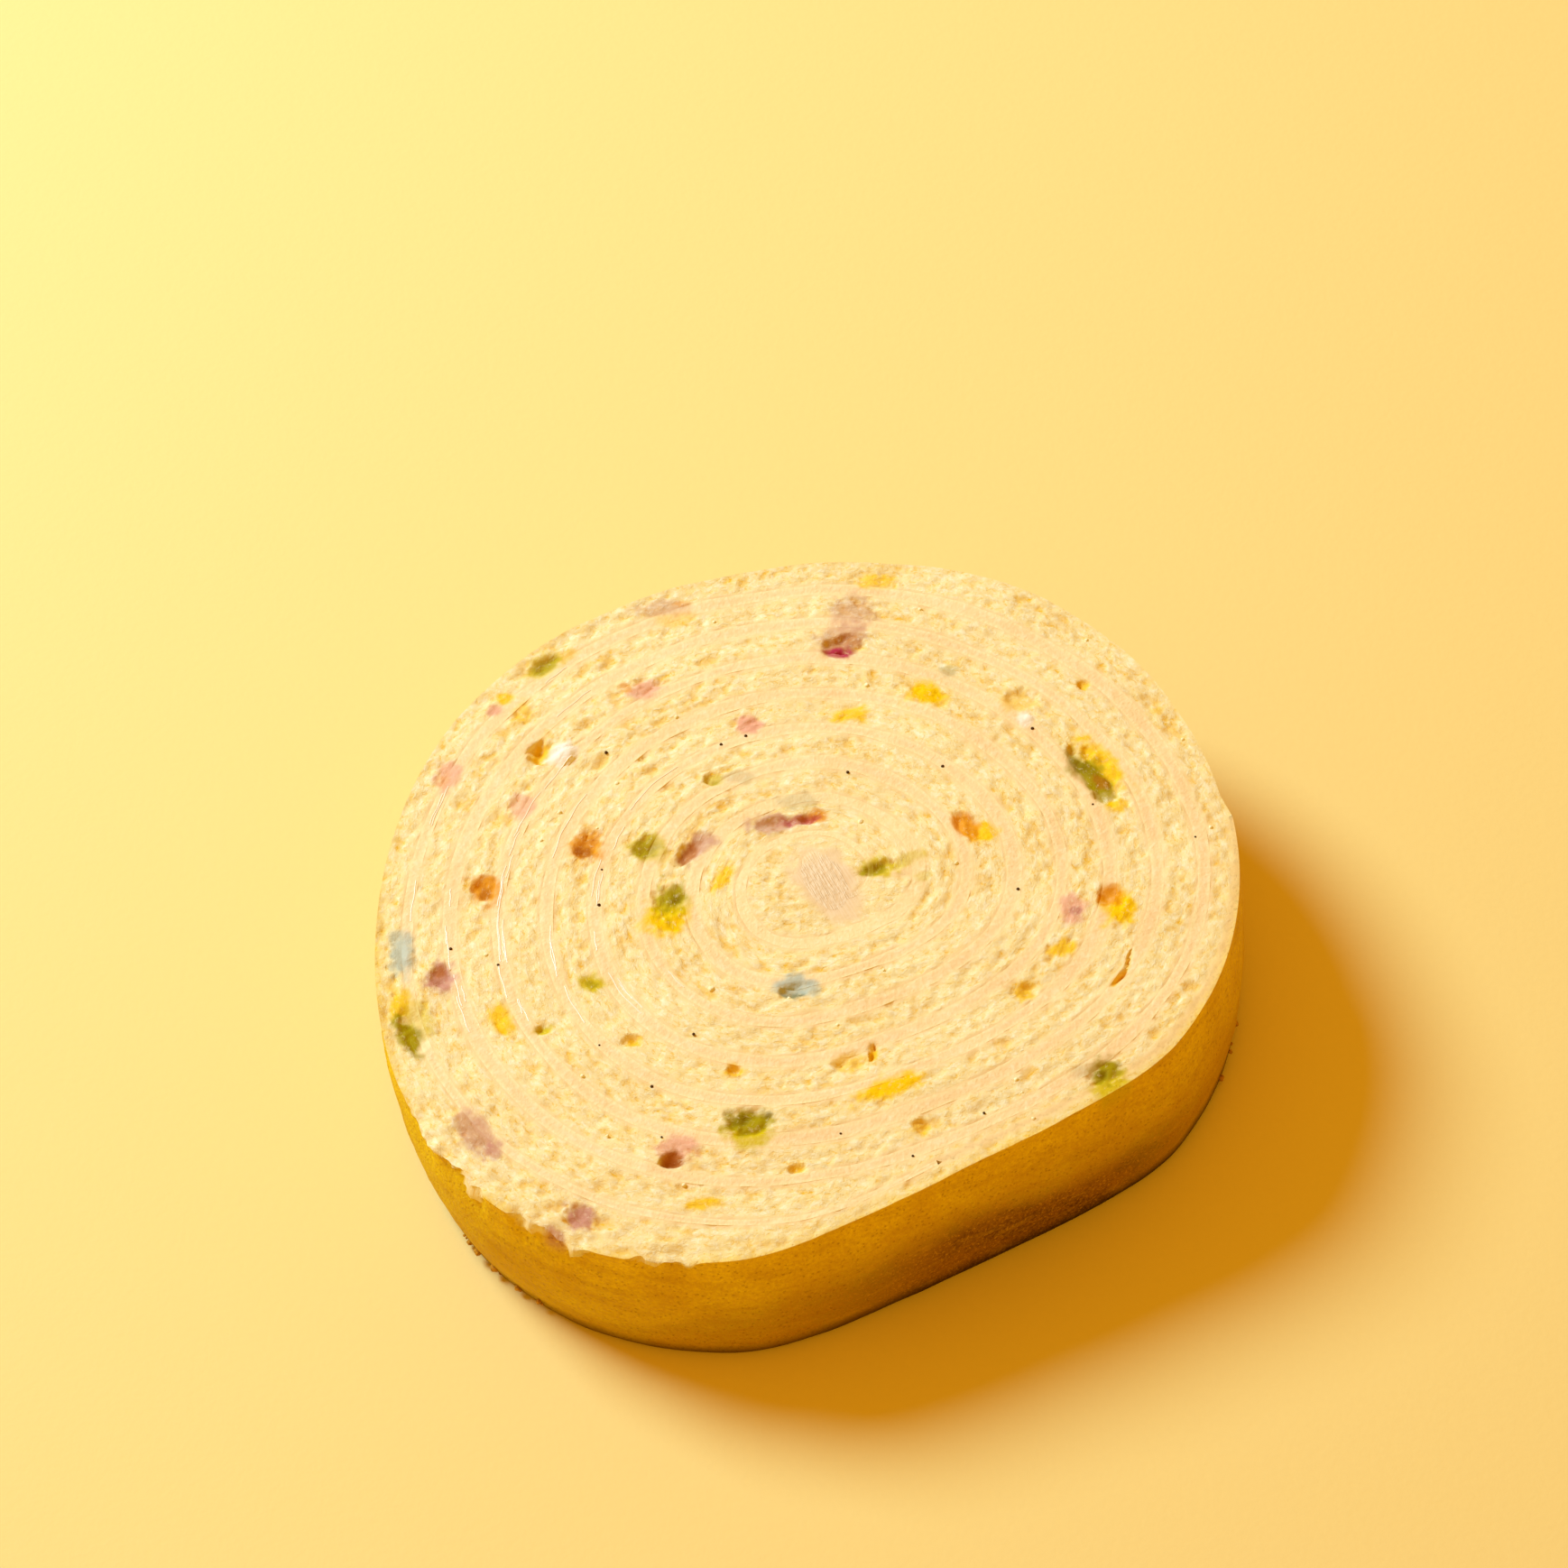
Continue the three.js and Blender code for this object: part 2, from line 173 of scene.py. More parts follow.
# Colour that ran from the sweets into the crumb, the later over the earlier:
# x, y, length, width, direction, dye, strength.
STAINS = (
    (27.2, 12.0, 8.6, 3.4, -56, "yellow", 0.95),
    (26.2, 11.0, 8.6, 2.9, -56, "green", 1.0),
    (25.0, 12.4, 3.4, 1.8, -50, "bottle", 0.8),
    (27.2, 10.2, 1.8, 1.2, -40, "bark", 0.6),
    (28.8, 7.3, 2.6, 2.2, 0, "yellow", 0.85),
    (3.4, 31.6, 5.4, 4.4, 20, "mauve", 0.5),
    (2.2, 28.6, 6.4, 4.2, 10, "mauve", 0.5),
    (2.4, 27.6, 4.6, 2.6, 15, "bark", 0.6),
    (1.7, 26.9, 2.4, 1.6, 0, "magenta", 1.0),
    (5.5, 35.6, 4.6, 2.2, -15, "yellow", 0.8),
    (-27.2, 15.8, 2.4, 3.4, -20, "toffee", 0.95),
    (-24.9, 15.4, 3.4, 3.4, 0, "milk", 1.0),
    (-8.0, 12.0, 3.8, 1.6, 5, "slate", 0.25),
    (-10.3, 11.7, 2.4, 1.9, -30, "lime", 0.7),
    (-10.0, 11.4, 1.1, 0.8, -30, "green", 0.6),
    (-2.4, 8.8, 4.6, 2.2, 0, "slate", 0.25),
    (-4.6, 6.3, 5.0, 2.7, 10, "mauve", 0.7),
    (-0.4, 7.0, 2.8, 1.8, 0, "orange", 0.9),
    (-1.9, 6.7, 3.6, 1.8, 5, "magenta", 0.75),
    (-11.6, 4.2, 4.4, 2.6, 55, "mauve", 0.7),
    (-12.6, 3.3, 3.0, 1.6, 55, "bark", 0.75),
    (-16.7, 3.9, 3.9, 3.6, 30, "lime", 0.85),
    (-16.9, 3.8, 2.8, 2.6, 30, "green", 0.85),
    (-14.6, -4.6, 4.8, 5.0, 0, "yellow", 1.0),
    (-14.4, -2.6, 4.4, 4.6, 0, "lime", 0.85),
    (-14.2, -1.9, 3.3, 3.4, 0, "green", 0.95),
    (-14.0, -2.2, 1.8, 1.5, 0, "bottle", 0.7),
    (-22.4, 4.0, 4.2, 3.8, 40, "orange", 0.9),
    (-22.6, 3.5, 2.2, 2.0, 0, "bark", 0.85),
    (-32.3, -0.4, 3.8, 4.0, 0, "orange", 0.95),
    (-32.3, -0.9, 1.8, 1.8, 0, "bark", 0.7),
    (-36.2, -10.4, 3.0, 3.9, 10, "mauve", 0.9),
    (-36.3, -9.9, 1.3, 1.5, 0, "bark", 0.7),
    (-40.0, -13.6, 2.6, 3.4, 0, "yellow", 0.9),
    (-38.2, -15.6, 5.6, 3.6, -65, "lime", 0.6),
    (-39.0, -17.1, 5.6, 2.6, -65, "green", 1.0),
    (-40.0, -7.6, 3.0, 5.8, 5, "blue", 0.85),
    (15.8, 4.5, 3.0, 2.6, 0, "yellow", 0.95),
    (14.0, 5.5, 4.6, 2.4, -45, "orange", 0.95),
    (8.3, 1.6, 5.0, 1.8, 30, "lime", 0.55),
    (9.8, -0.4, 1.8, 1.2, 20, "lime", 0.45),
    (5.7, 0.7, 4.2, 2.4, 15, "lime", 0.85),
    (5.0, 0.5, 2.4, 1.3, 15, "green", 0.9),
    (-2.4, -12.4, 3.6, 2.8, 0, "blue", 0.9),
    (-1.0, -12.9, 2.2, 2.2, 0, "blue", 0.8),
    (-2.6, -13.8, 2.0, 1.0, 0, "slate", 0.85),
    (19.2, -14.1, 2.5, 2.4, 0, "toffee", 0.9),
    (28.5, -4.8, 4.0, 5.2, 0, "yellow", 1.0),
    (27.7, -3.3, 2.8, 2.8, 0, "orange", 0.95),
    (24.2, -4.6, 3.2, 3.8, 0, "pink", 0.8),
    (24.4, -5.0, 1.5, 1.3, 0, "mauve", 0.8),
    (22.8, -9.2, 3.6, 2.3, 20, "yellow", 0.9),
    (-6.8, -29.2, 5.6, 4.0, 0, "lime", 1.0),
    (-6.8, -27.9, 5.2, 3.2, 3, "green", 1.0),
    (-7.4, -27.7, 1.8, 1.5, 0, "bottle", 0.8),
    (-4.9, -27.2, 1.0, 0.9, 0, "bottle", 0.7),
    (-13.2, -30.5, 4.6, 3.2, 15, "pink", 0.8),
    (-13.9, -32.0, 2.4, 1.9, 15, "bark", 0.9),
    (24.8, -23.3, 2.6, 2.4, 0, "slate", 0.25),
    (26.9, -24.7, 5.0, 3.2, 25, "lime", 0.95),
    (26.6, -23.2, 4.0, 3.0, 40, "green", 1.0),
    (26.2, -23.4, 1.8, 1.4, 40, "bottle", 0.8),
    (2.6, -21.6, 4.0, 2.6, 20, "toffee", 0.65),
    (4.9, -20.6, 1.2, 2.6, 0, "toffee", 1.0),
    (28.3, -12.8, 2.8, 0.7, 50, "toffee", 0.9),
    (29.2, -10.9, 2.6, 0.6, 78, "toffee", 0.8),
    (19.6, 20.3, 3.8, 2.6, 0, "toffee", 0.55),
    (20.2, 17.9, 2.0, 1.7, 0, "milk", 0.85),
    (-25.0, 27.3, 3.0, 1.5, 30, "toffee", 0.6),
    (-27.1, 26.1, 4.2, 2.6, 40, "lime", 0.8),
    (-26.9, 26.2, 3.0, 1.6, 40, "green", 0.7),
    (-32.4, -28.3, 5.8, 3.4, -45, "mauve", 0.65),
    (-30.6, -30.4, 2.4, 1.8, -45, "mauve", 0.7),
    (-17.8, -18.4, 1.9, 1.6, 0, "toffee", 0.95),
    (-26.3, -17.0, 2.2, 1.4, 20, "lime", 0.95),
    (-22.3, -37.9, 3.8, 3.4, 50, "mauve", 0.9),
    (-24.6, -39.4, 2.6, 1.4, -35, "mauve", 0.7),
    (-14.4, 31.4, 4.2, 1.8, 0, "toffee", 0.5),
    (-15.4, 33.0, 5.4, 2.2, 5, "mauve", 0.45),
    (-13.6, 33.4, 2.4, 1.0, 5, "orange", 0.5),
    (-17.2, 22.8, 4.4, 3.0, 10, "pink", 0.8),
    (-19.0, 23.0, 1.8, 1.4, 10, "orange", 0.6),
    (-31.0, 22.3, 1.8, 1.6, 0, "yellow", 0.9),
    (-31.8, 20.8, 2.4, 2.0, 0, "pink", 0.8),
    (-29.2, 20.4, 2.2, 3.6, -20, "toffee", 0.7),
    (-36.1, 13.1, 3.0, 3.4, 0, "pink", 0.75),
    (-36.6, 12.6, 1.5, 1.6, 0, "orange", 0.35),
    (-28.9, 9.2, 2.6, 3.4, -10, "pink", 0.65),
    (-7.0, 18.1, 2.7, 2.5, 0, "pink", 0.9),
    (2.7, 19.2, 4.2, 2.4, 5, "yellow", 0.9),
    (10.7, 21.3, 4.8, 3.0, -10, "yellow", 1.0),
    (12.5, 24.4, 2.2, 1.6, 0, "slate", 0.35),
    (25.8, 21.8, 1.6, 1.4, 0, "toffee", 0.9),
    (33.0, 18.6, 1.3, 1.2, 0, "toffee", 0.7),
    (-9.4, 0.1, 1.8, 3.8, -25, "yellow", 0.9),
    (-30.2, -15.8, 2.7, 4.8, 25, "yellow", 0.9),
    (-21.7, -11.8, 3.2, 2.6, 0, "lime", 0.95),
    (-21.7, -11.8, 1.4, 1.1, 0, "green", 0.7),
    (6.6, -24.6, 7.6, 2.6, 18, "yellow", 1.0),
    (-11.1, -36.9, 4.2, 1.5, 5, "yellow", 0.9),
    (-8.2, -22.2, 1.8, 1.4, 0, "toffee", 0.9),
    (9.3, -28.9, 2.2, 1.8, 0, "toffee", 0.8),
    (-2.2, -33.2, 1.8, 1.2, 0, "toffee", 0.9),
)

# Black vanilla seeds that show in the cut.
SEEDS = (
    (-20.8, 15.4), (2.7, 12.1), (11.9, 12.5), (20.7, 16.8), (18.9, -2.2),
    (26.3, 7.4), (36.0, 3.2), (-21.2, -2.8), (-35.3, -7.4), (-30.7, -9.5),
    (-12.0, -18.0), (-20.9, -18.9), (1.8, -29.5), (8.5, -32.2), (-21.0, 1.4),
    (-15.9, -23.6), (-14.9, -29.4), (15.2, -27.6), (-7.2, 16.9), (-9.6, 16.0),
)

# How many streaks are tried, how many crumbs are strewn on the cut, and the crumbs at the foot
# of the wall: from one direction to another in degrees, and their number.
STREAKS = 46
LOOSE_CRUMBS = 40
FOOT_CRUMBS = ((220, 246, 10), (-34, -8, 5))

# Shading: the middle of noise, how far a seed shifts it, and the lines that the knife drew.
MIDDLE_GREY = (0.5, 0.5, 0.5)
SEED_STEP = (0.0, 0.0, 13.7)
KNIFE_SPACING = 0.14 * MM

# The stage, in metres.
FLOOR_REACH = 3.0
KEY_TOWARDS = Vector((-0.62, 0.42, 0.66))
KEY_DISTANCE = 0.8
CAMERA_PLACE = (-2.83 * MM, -357.8 * MM, 528.07 * MM)
CAMERA_TILT = math.radians(36)
CAMERA_LENS = 149.84  # mm


# ---------------------------------------------------------------- sizes and colours


def srgb(red, green, blue):
    """A colour given in screen values from 0 to 255, as the linear one that shaders use."""
    shares = (c / 255 for c in (red, green, blue))
    return tuple(c / 12.92 if c <= 0.04045 else ((c + 0.055) / 1.055) ** 2.4 for c in shares)


def number_of(name, text, default, **more):
    return FloatProperty(name=name, description=text, default=default, **more)


def length_of(name, text, default_mm):
    return number_of(name, text, default_mm * MM, min=0.0, precision=5, unit="LENGTH")


def colour_of(name, text, *screen):
    colour = srgb(*screen)
    return FloatVectorProperty(
        name=name, description=text, default=colour, subtype="COLOR", min=0.0, max=1.0, size=3
    )


class SwissRollSizes(PropertyGroup):
    """Sizes of the slice and of its winding."""

    thickness: length_of("Thickness", "Height of the slice at its hub", 16.6)
    rise: number_of("Rise", "How far the upper cut rises per length towards +X", 0.05)
    foot_shift: FloatVectorProperty(
        name="Foot Shift",
        description="How far the lower cut is shifted against the upper one",
        default=(1.5 * MM, -1.0 * MM),
        size=2,
        unit="LENGTH",
        precision=5,
    )
    foot_scale: number_of("Foot Scale", "Size of the lower cut against the upper one", 0.985)
    bulge: length_of("Bulge", "How far the wall swells at half height", 0.7)
    tuck: length_of("Tuck", "How far the wall turns in at its foot", 0.2)
    coil_start: length_of("Winding Start", "Radius of the winding at its first turn", 4.54)
    pitch: length_of("Pitch", "Sponge and cream together, from turn to turn", 4.455)
    cover: length_of("Cover", "Sponge outside the last turn of cream", 3.0)
    cream_width: length_of("Cream Width", "Width of the cream between two turns", 1.25)
    thin_cream_width: length_of("Thin Cream Width", "Width of the cream at both ends of the winding", 0.55)


class SwissRollCrumb(PropertyGroup):
    """Finish of the sponge."""

    point_spacing: length_of("Point Spacing", "Distance between mesh points on the upper cut", 0.31)
    fine_spacing: length_of("Fine Spacing", "Distance between mesh points round the sweets", 0.2)
    cell_size: length_of("Cell Size", "Width of the crumb's open cells", 1.0)
    cell_depth: length_of("Cell Depth", "Depth of the crumb's open cells", 0.15)
    hole_size: length_of("Hole Size", "Distance between the larger holes' places", 2.6)
    hole_depth: length_of("Hole Depth", "Depth of the larger holes", 0.24)
    grain_depth: length_of("Grain Depth", "Height of the fine roughness", 0.22)
    seed: IntProperty(name="Seed", description="Seed of the crumb's pattern", default=7)
    pale: colour_of("Crumb", "Colour of the crumb", 252, 234, 170)
    # On the cut this colour lies on the crests of the flakes as a painted highlight.
    light: colour_of("Crumb Flakes", "Colour of the crumb's brightest flakes", 255, 248, 206)
    # Painted shade: a deeper golden laid into the crumb's cells, holes and the gaps between its flakes.
    deep: colour_of("Cells", "Colour deep in the cells", 242, 188, 30)
    skin: colour_of("Skin", "Golden skin round the rim", 246, 210, 10)
    # Mealy skin near the foot, darkened as painted shade low on the wall and on its side away from the key
    # light.
    foot_skin_and_shade: colour_of("Skin Foot", "Duller, mealy skin near the foot", 108, 70, 24)


class SwissRollCream(PropertyGroup):
    """Finish of the cream."""

    streak_width: length_of("Streak Width", "Width of the glossy streaks that the knife left", 0.17)
    cream: colour_of("Cream", "Colour of the cream", 251, 216, 156)
    milk: colour_of("Core Cream", "Duller cream at the hub", 240, 211, 164)
    # The streaks are whiter than the cream partly as a painted highlight of their gloss; the knife lines use
    # this colour too.
    streak: colour_of("Streaks", "Glossy streaks", 255, 240, 206)


class SwissRollSweets(PropertyGroup):
    """Dyes of the coloured sweets, and the vanilla seeds."""

    green: colour_of("Green", "Green sweets", 170, 148, 0)
    bottle: colour_of("Dark Green", "Darkest green", 136, 114, 0)
    lime: colour_of("Lime", "Yellowish green", 216, 188, 0)
    yellow: colour_of("Yellow", "Yellow sweets", 254, 206, 0)
    orange: colour_of("Orange", "Orange sweets", 234, 154, 4)
    toffee: colour_of("Toffee", "Depths of the larger holes", 246, 196, 30)
    bark: colour_of("Bark", "Brown depths of dyed holes", 182, 102, 16)
    magenta: colour_of("Magenta", "Strongest red", 184, 52, 76)
    mauve: colour_of("Mauve", "Mauve sweets", 198, 132, 112)
    pink: colour_of("Pink", "Pink sweets", 236, 168, 138)
    blue: colour_of("Blue", "Blue sweets", 180, 188, 168)
    slate: colour_of("Slate", "Shaded depths of the blue sweets", 126, 120, 78)
    milk: colour_of("White", "White lumps", 255, 246, 224)
    vanilla: colour_of("Vanilla", "Vanilla seeds", 58, 36, 16)
    seed_size: length_of("Seed Size", "Width of a vanilla seed", 0.32)


class SwissRollStage(PropertyGroup):
    """Floor, light and camera."""

    floor: colour_of("Floor", "Pale floor", 252, 226, 140)
    key_power: number_of("Key Power", "Power of the key light", 7.9, unit="POWER")
    key: colour_of("Key Colour", "Colour of the key light", 194, 228, 255)
    key_size: number_of("Key Size", "Width of the key light", 0.32, unit="LENGTH")
    sky_strength: number_of("Sky", "Strength of the light from all sides", 0.66)
    sky: colour_of("Sky Colour", "Colour of the light from all sides", 255, 188, 48)


# ---------------------------------------------------------------- plan curves, in mm


def smooth_step(value, low, high):
    share = np.clip((value - low) / (high - low), 0, 1)
    return share * share * (3 - 2 * share)


def soft_min(a, b, blend):
    """The lesser of two values, with the corner between them rounded."""
    share = np.clip(0.5 + (b - a) / (2 * blend), 0, 1)
    return b + (a - b) * share - blend * share * (1 - share)


def lobes(table, angle):
    return sum(height * np.cos(order * (angle - math.radians(at))) for order, height, at in table)


def lip_height(angle):
    behind = np.mod(LIP["at"] - np.degrees(angle), 360)
    rise = np.maximum(0, 1 - behind / LIP["length"])
    drop = np.maximum(0, 1 - (360 - behind) / LIP["drop"])
    return LIP["height"] * np.maximum(rise, drop)


def outline_radius(angle):
    round_one = OUTLINE_RADIUS + lobes(OUTLINE_LOBES, angle) + lip_height(angle)
    facing = np.cos(angle - math.radians(FLAT_SIDE["at"]))
    flat = FLAT_SIDE["distance"] / np.maximum(facing, 1e-3)
    return np.where(facing > 1e-3, soft_min(round_one, flat, FLAT_SIDE["blend"]), round_one)


def torn_share(angle):
    """1 where the rim is torn, 0 where the skin reaches the cut."""
    at = in_degrees(angle)
    share = smooth_step(at, TORN["from"], TORN["from"] + TORN["fade"])
    share = share * (1 - smooth_step(at, TORN["to"] - TORN["fade"], TORN["to"]))
    for middle, reach in HELD_SKIN:
        share = share * smooth_step(np.abs(at - middle), 0.45 * reach, reach)
    return share


def to_polar(points):
    """The distance of plan points from the hub, and their direction."""
    return np.hypot(*points.T), np.arctan2(points[:, 1], points[:, 0])


def in_degrees(angle):
    """Directions as degrees from 0 to 360."""
    return np.mod(np.degrees(angle), 360)


def turn_share(angle):
    """Directions as shares of a turn, from 0 to 1."""
    return np.mod(angle / FULL_TURN, 1)


def rim_length(angle):
    """The way along the rim from direction 0, in mm."""
    return np.mod(angle, FULL_TURN) * OUTLINE_RADIUS


def torn_depth(angle):
    """How far down the wall the torn crumb reaches, in mm."""
    along = rim_length(angle)
    ragged = 0.7 + 1.1 * value_noise(along, 3.0, 2.6, 43) + 0.5 * value_noise(along, 9.0, 0.9, 47)
    return torn_share(angle) * np.clip(ragged, 0.0, 2.2)


def rim_radius(angle):
    """The outline with its ragged torn part."""
    along = rim_length(angle)
    ragged = 0.95 * value_noise(along, 5.0, 3.3, 51) + 0.5 * value_noise(along, 7.0, 1.2, 53) - 0.7
    return outline_radius(angle) + torn_share(angle) * ragged


def rim_ring():
    """Corners of the rim, at equal steps round the hub."""
    count = round(FULL_TURN * OUTLINE_RADIUS / RIM_STEP)
    angle = np.arange(count) / count * FULL_TURN
    return polar(rim_radius(angle), angle)


def inside_rim(points):
    """True where a point is inside the straight sides of the rim."""
    ring = rim_ring()
    share = turn_share(to_polar(points)[1]) * len(ring)
    first = np.floor(share).astype(int) % len(ring)
    start, end = ring[first], ring[(first + 1) % len(ring)]
    side, step = end - start, points - start
    return side[:, 0] * step[:, 1] - side[:, 1] * step[:, 0] > 0


def dull_height(angle):
    at = in_degrees(angle)
    directions, heights = zip(*DULL_LINE)
    return np.interp(at, directions, heights) + 0.9 * value_noise(at / 8, 2.0, 1.0, 67)


def coil_radius(sizes, turn):
    angle = np.asarray(turn) * FULL_TURN
    plain = (sizes.coil_start + sizes.pitch * turn) / MM
    grown = (np.maximum(plain, 0.1) / COIL_LOBES_FULL_AT) ** COIL_LOBES_GROWTH
    thins = smooth_step(turn, COVER_THINS_FROM, COIL_TO)
    cover = sizes.cover / MM * (1 - thins) + COVER_AT_END * thins
    return soft_min(plain + grown * lobes(COIL_LOBES, angle), outline_radius(angle) - cover, 1.0)


def sheet_radius(sizes, turn):
    """The winding, carried on from its last cream to the lip where the sheet ends."""
    held = np.minimum(turn, COIL_TO)
    middle = coil_radius(sizes, held)
    lip_turn = math.floor(COIL_TO) + 1 + LIP["at"] / 360
    share = np.clip((turn - COIL_TO) / (lip_turn - COIL_TO), 0, 1)
    rim = outline_radius(np.asarray(turn) * FULL_TURN)
    carried = rim - COVER_AT_END * (1 - share)
    return np.where(turn > lip_turn, 1e3, np.where(turn > COIL_TO, carried, middle))


def seam_distance(sizes, points):
    """How far each point is from a seam in the sheet that no cream fills, in mm."""
    radius, angle = to_polar(points)
    share = turn_share(angle)
    away = np.full(len(points), FAR)
    for whole in (math.floor(COIL_TO), math.floor(COIL_TO) + 1):
        turn = share + whole
        away = np.minimum(away, np.where(turn > COIL_TO, np.abs(radius - sheet_radius(sizes, turn)), FAR))
    start = sheet_radius(sizes, np.zeros(1))[0], sheet_radius(sizes, np.ones(1))[0]
    beside = np.where(np.cos(angle) > 0, np.abs(points[:, 1]), FAR)
    return np.minimum(away, np.where((radius > start[0]) & (radius < start[1]), beside, FAR))


def cream_half_width(sizes, turn):
    full = smooth_step(turn, *CREAM_GROWS) * (1 - smooth_step(turn, CREAM_THINS_FROM, COIL_TO))
    waves = 1 + sum(share * np.sin(rate * turn + start) for share, rate, start in CREAM_WAVES)
    thin = sizes.thin_cream_width / MM
    return (thin + (sizes.cream_width / MM * waves - thin) * full) / 2


def polar(radius, angle):
    return np.stack([radius * np.cos(angle), radius * np.sin(angle)], axis=-1)


def coil_turns(sizes, step):
    """Turns at equal steps along the winding."""
    turns = [COIL_FROM]
    while turns[-1] < COIL_TO:
        radius = float(coil_radius(sizes, turns[-1]))
        turns.append(turns[-1] + min(step / (FULL_TURN * radius), 1 / 60))
    turns[-1] = COIL_TO
    return np.array(turns)


def core_ring(count, grow=0.0, share=1.0):
    """An oval of points round the middle of the lump of cream at the hub."""
    x, y, length, width, turned = CORE
    angle, turn = np.arange(count) / count * FULL_TURN, math.radians(turned)
    along = (length / 2 + grow) * share * np.cos(angle)
    across = (width / 2 + grow) * share * np.sin(angle)
    x = x + along * math.cos(turn) - across * math.sin(turn)
    y = y + along * math.sin(turn) + across * math.cos(turn)
    return np.stack([x, y], axis=-1)


def oval_distance(points, x, y, length, width, turned):
    """0 at the middle of an oval and 1 on its rim."""
    turn = math.radians(turned)
    dx, dy = points[:, 0] - x, points[:, 1] - y
    along = (dx * math.cos(turn) + dy * math.sin(turn)) / (length / 2)
    across = (dy * math.cos(turn) - dx * math.sin(turn)) / (width / 2)
    return np.hypot(along, across)


def cream_distance(sizes, points):
    """How far each point is outside the cream, in mm; negative inside it."""
    radius, angle = to_polar(points)
    share = turn_share(angle)
    away = (oval_distance(points, *CORE) - 1) * (CORE[3] / 2)
    for whole in range(-1, 9):
        turn = share + whole
        held = np.clip(turn, COIL_FROM, COIL_TO)
        middle = polar(coil_radius(sizes, held), held * FULL_TURN)
        beside = np.abs(radius - coil_radius(sizes, held))
        past = np.hypot(*(points - middle).T)
        inside = (turn >= COIL_FROM) & (turn <= COIL_TO)
        away = np.minimum(away, np.where(inside, beside, past) - cream_half_width(sizes, held))
    return away


def core_share(points):
    """1 on the smear of cream at the hub, fading out over its ragged edge."""
    away = oval_distance(points, *CORE_SMEAR)
    return 1 - smooth_step(away * (1 + 0.3 * rough_noise(*points.T, 1.6, 91)), 0.55, 1.1)


def wound_place(sizes, points):
    """Each point's place in the sheet before it was wound: along it, and across from the cream."""
    radius, angle = to_polar(points)
    share = turn_share(angle)
    along, across = points[:, 0].copy(), points[:, 1].copy()
    for whole in range(9):
        turn = share + whole
        inner = sheet_radius(sizes, turn)
        outside = radius > inner
        arc = (sizes.coil_start * turn + sizes.pitch * turn * turn / 2) / MM * FULL_TURN
        along = np.where(outside, arc, along)
        across = np.where(outside, radius - inner, across)
    return along, across


# ---------------------------------------------------------------- seeded unevenness


def value_noise(x, y, size, seed):
    """Smooth noise from -1 to 1 with bumps of about the given size."""
    table = np.random.default_rng(seed).uniform(-1, 1, (256, 256))
    gx, gy = np.broadcast_arrays(np.asarray(x) / size + 512, np.asarray(y) / size + 512)
    ix, iy = np.floor(gx).astype(int), np.floor(gy).astype(int)
    fx, fy = smooth_step(gx - ix, 0, 1), smooth_step(gy - iy, 0, 1)
    sides = [table[ix % 256, y % 256] * (1 - fx) + table[(ix + 1) % 256, y % 256] * fx for y in (iy, iy + 1)]
    return sides[0] * (1 - fy) + sides[1] * fy


def rough_noise(x, y, size, seed):
    return sum(0.5**n * value_noise(x, y, size * 0.5**n, seed + n) for n in range(3)) / 1.75


def top_height(sizes, x):
    return sizes.thickness / MM + sizes.rise * x


def swell_height(points):
    """The gentle unevenness of the upper cut, never above the plain cut by more than the swell."""
    turn, rate = math.radians(SWELL["turned"]), FULL_TURN / SWELL["length"]
    along = points[:, 0] * math.cos(turn) - points[:, 1] * math.sin(turn)
    across = points[:, 0] * math.sin(turn) + points[:, 1] * math.cos(turn)
    swell = SWELL["height"] * np.sin(along * rate) * np.sin(1.3 * across * rate)
    return swell - 0.12 + 0.1 * rough_noise(*points.T, 3.6, 41)


def sunk_height(points):
    """How the hollows, lumps and tears move the upper cut."""
    ragged = 1 + 0.35 * rough_noise(*points.T, 0.9, 31)
    pitted = 1 + 0.5 * value_noise(*points.T, 0.7, 37)
    height = np.zeros(len(points))
    for x, y, length, width, depth, turned in HOLLOWS:
        rim = oval_distance(points, x, y, length, width, turned) * ragged
        height = np.minimum(height, -depth * pitted * np.clip(1 - rim * rim, 0, None) ** 0.8)
    for x, y, length, width, crest, turned in LUMPS:
        rim = oval_distance(points, x, y, length, width, turned) * (0.7 + 0.3 * ragged)
        dome = (crest + LUMP_SINK) * np.sqrt(np.clip(1 - rim * rim, 0, None))
        dome = dome * (0.6 + 0.4 * pitted) - LUMP_SINK
        height = np.where(rim < 1, np.maximum(height, dome), height)
    radius, angle = to_polar(points)
    room = outline_radius(angle) - radius
    crumbly = 0.55 + 0.45 * value_noise(*points.T, 0.9, 59)
    slump = torn_share(angle) * crumbly * np.clip(1 - room / 1.6, 0, 1.3) ** 1.5
    lumpy = np.minimum(value_noise(*points.T, 1.5, 97), 0.1) * np.exp(-np.maximum(room, 0) / 2.2)
    return height - 0.9 * slump + 0.7 * torn_share(angle) * lumpy


# ---------------------------------------------------------------- meshes


def leaned(sizes, points, share):
    """Places at a share of the height, 0 at the lower cut and 1 at the upper, in mm."""
    below = 1 - share
    shift = np.array(sizes.foot_shift) / MM
    scale = 1 - (1 - sizes.foot_scale) * below
    height = share * top_height(sizes, points[:, 0])
    plan = points * np.expand_dims(scale, -1) + np.expand_dims(below, -1) * shift
    return np.column_stack([plan + HUB, height])


def on_cut(sizes, plan, lift=0.0):
    """Places on the upper cut with its swells and hollows, or a little above or below it."""
    place = leaned(sizes, plan, np.ones(len(plan)))
    place[:, 2] += swell_height(plan) + sunk_height(plan) + lift
    return place


def barrelled(sizes, points, share):
    """The wall's plan places at a share of the height: it swells halfway and turns in below."""
    out = points / np.linalg.norm(points, axis=1, keepdims=True)
    foot = sizes.tuck / MM * (1 - smooth_step(share, 0, 0.25))
    swell = sizes.bulge / MM * np.sin(math.pi * share) - foot
    return points + out * np.expand_dims(swell, -1)


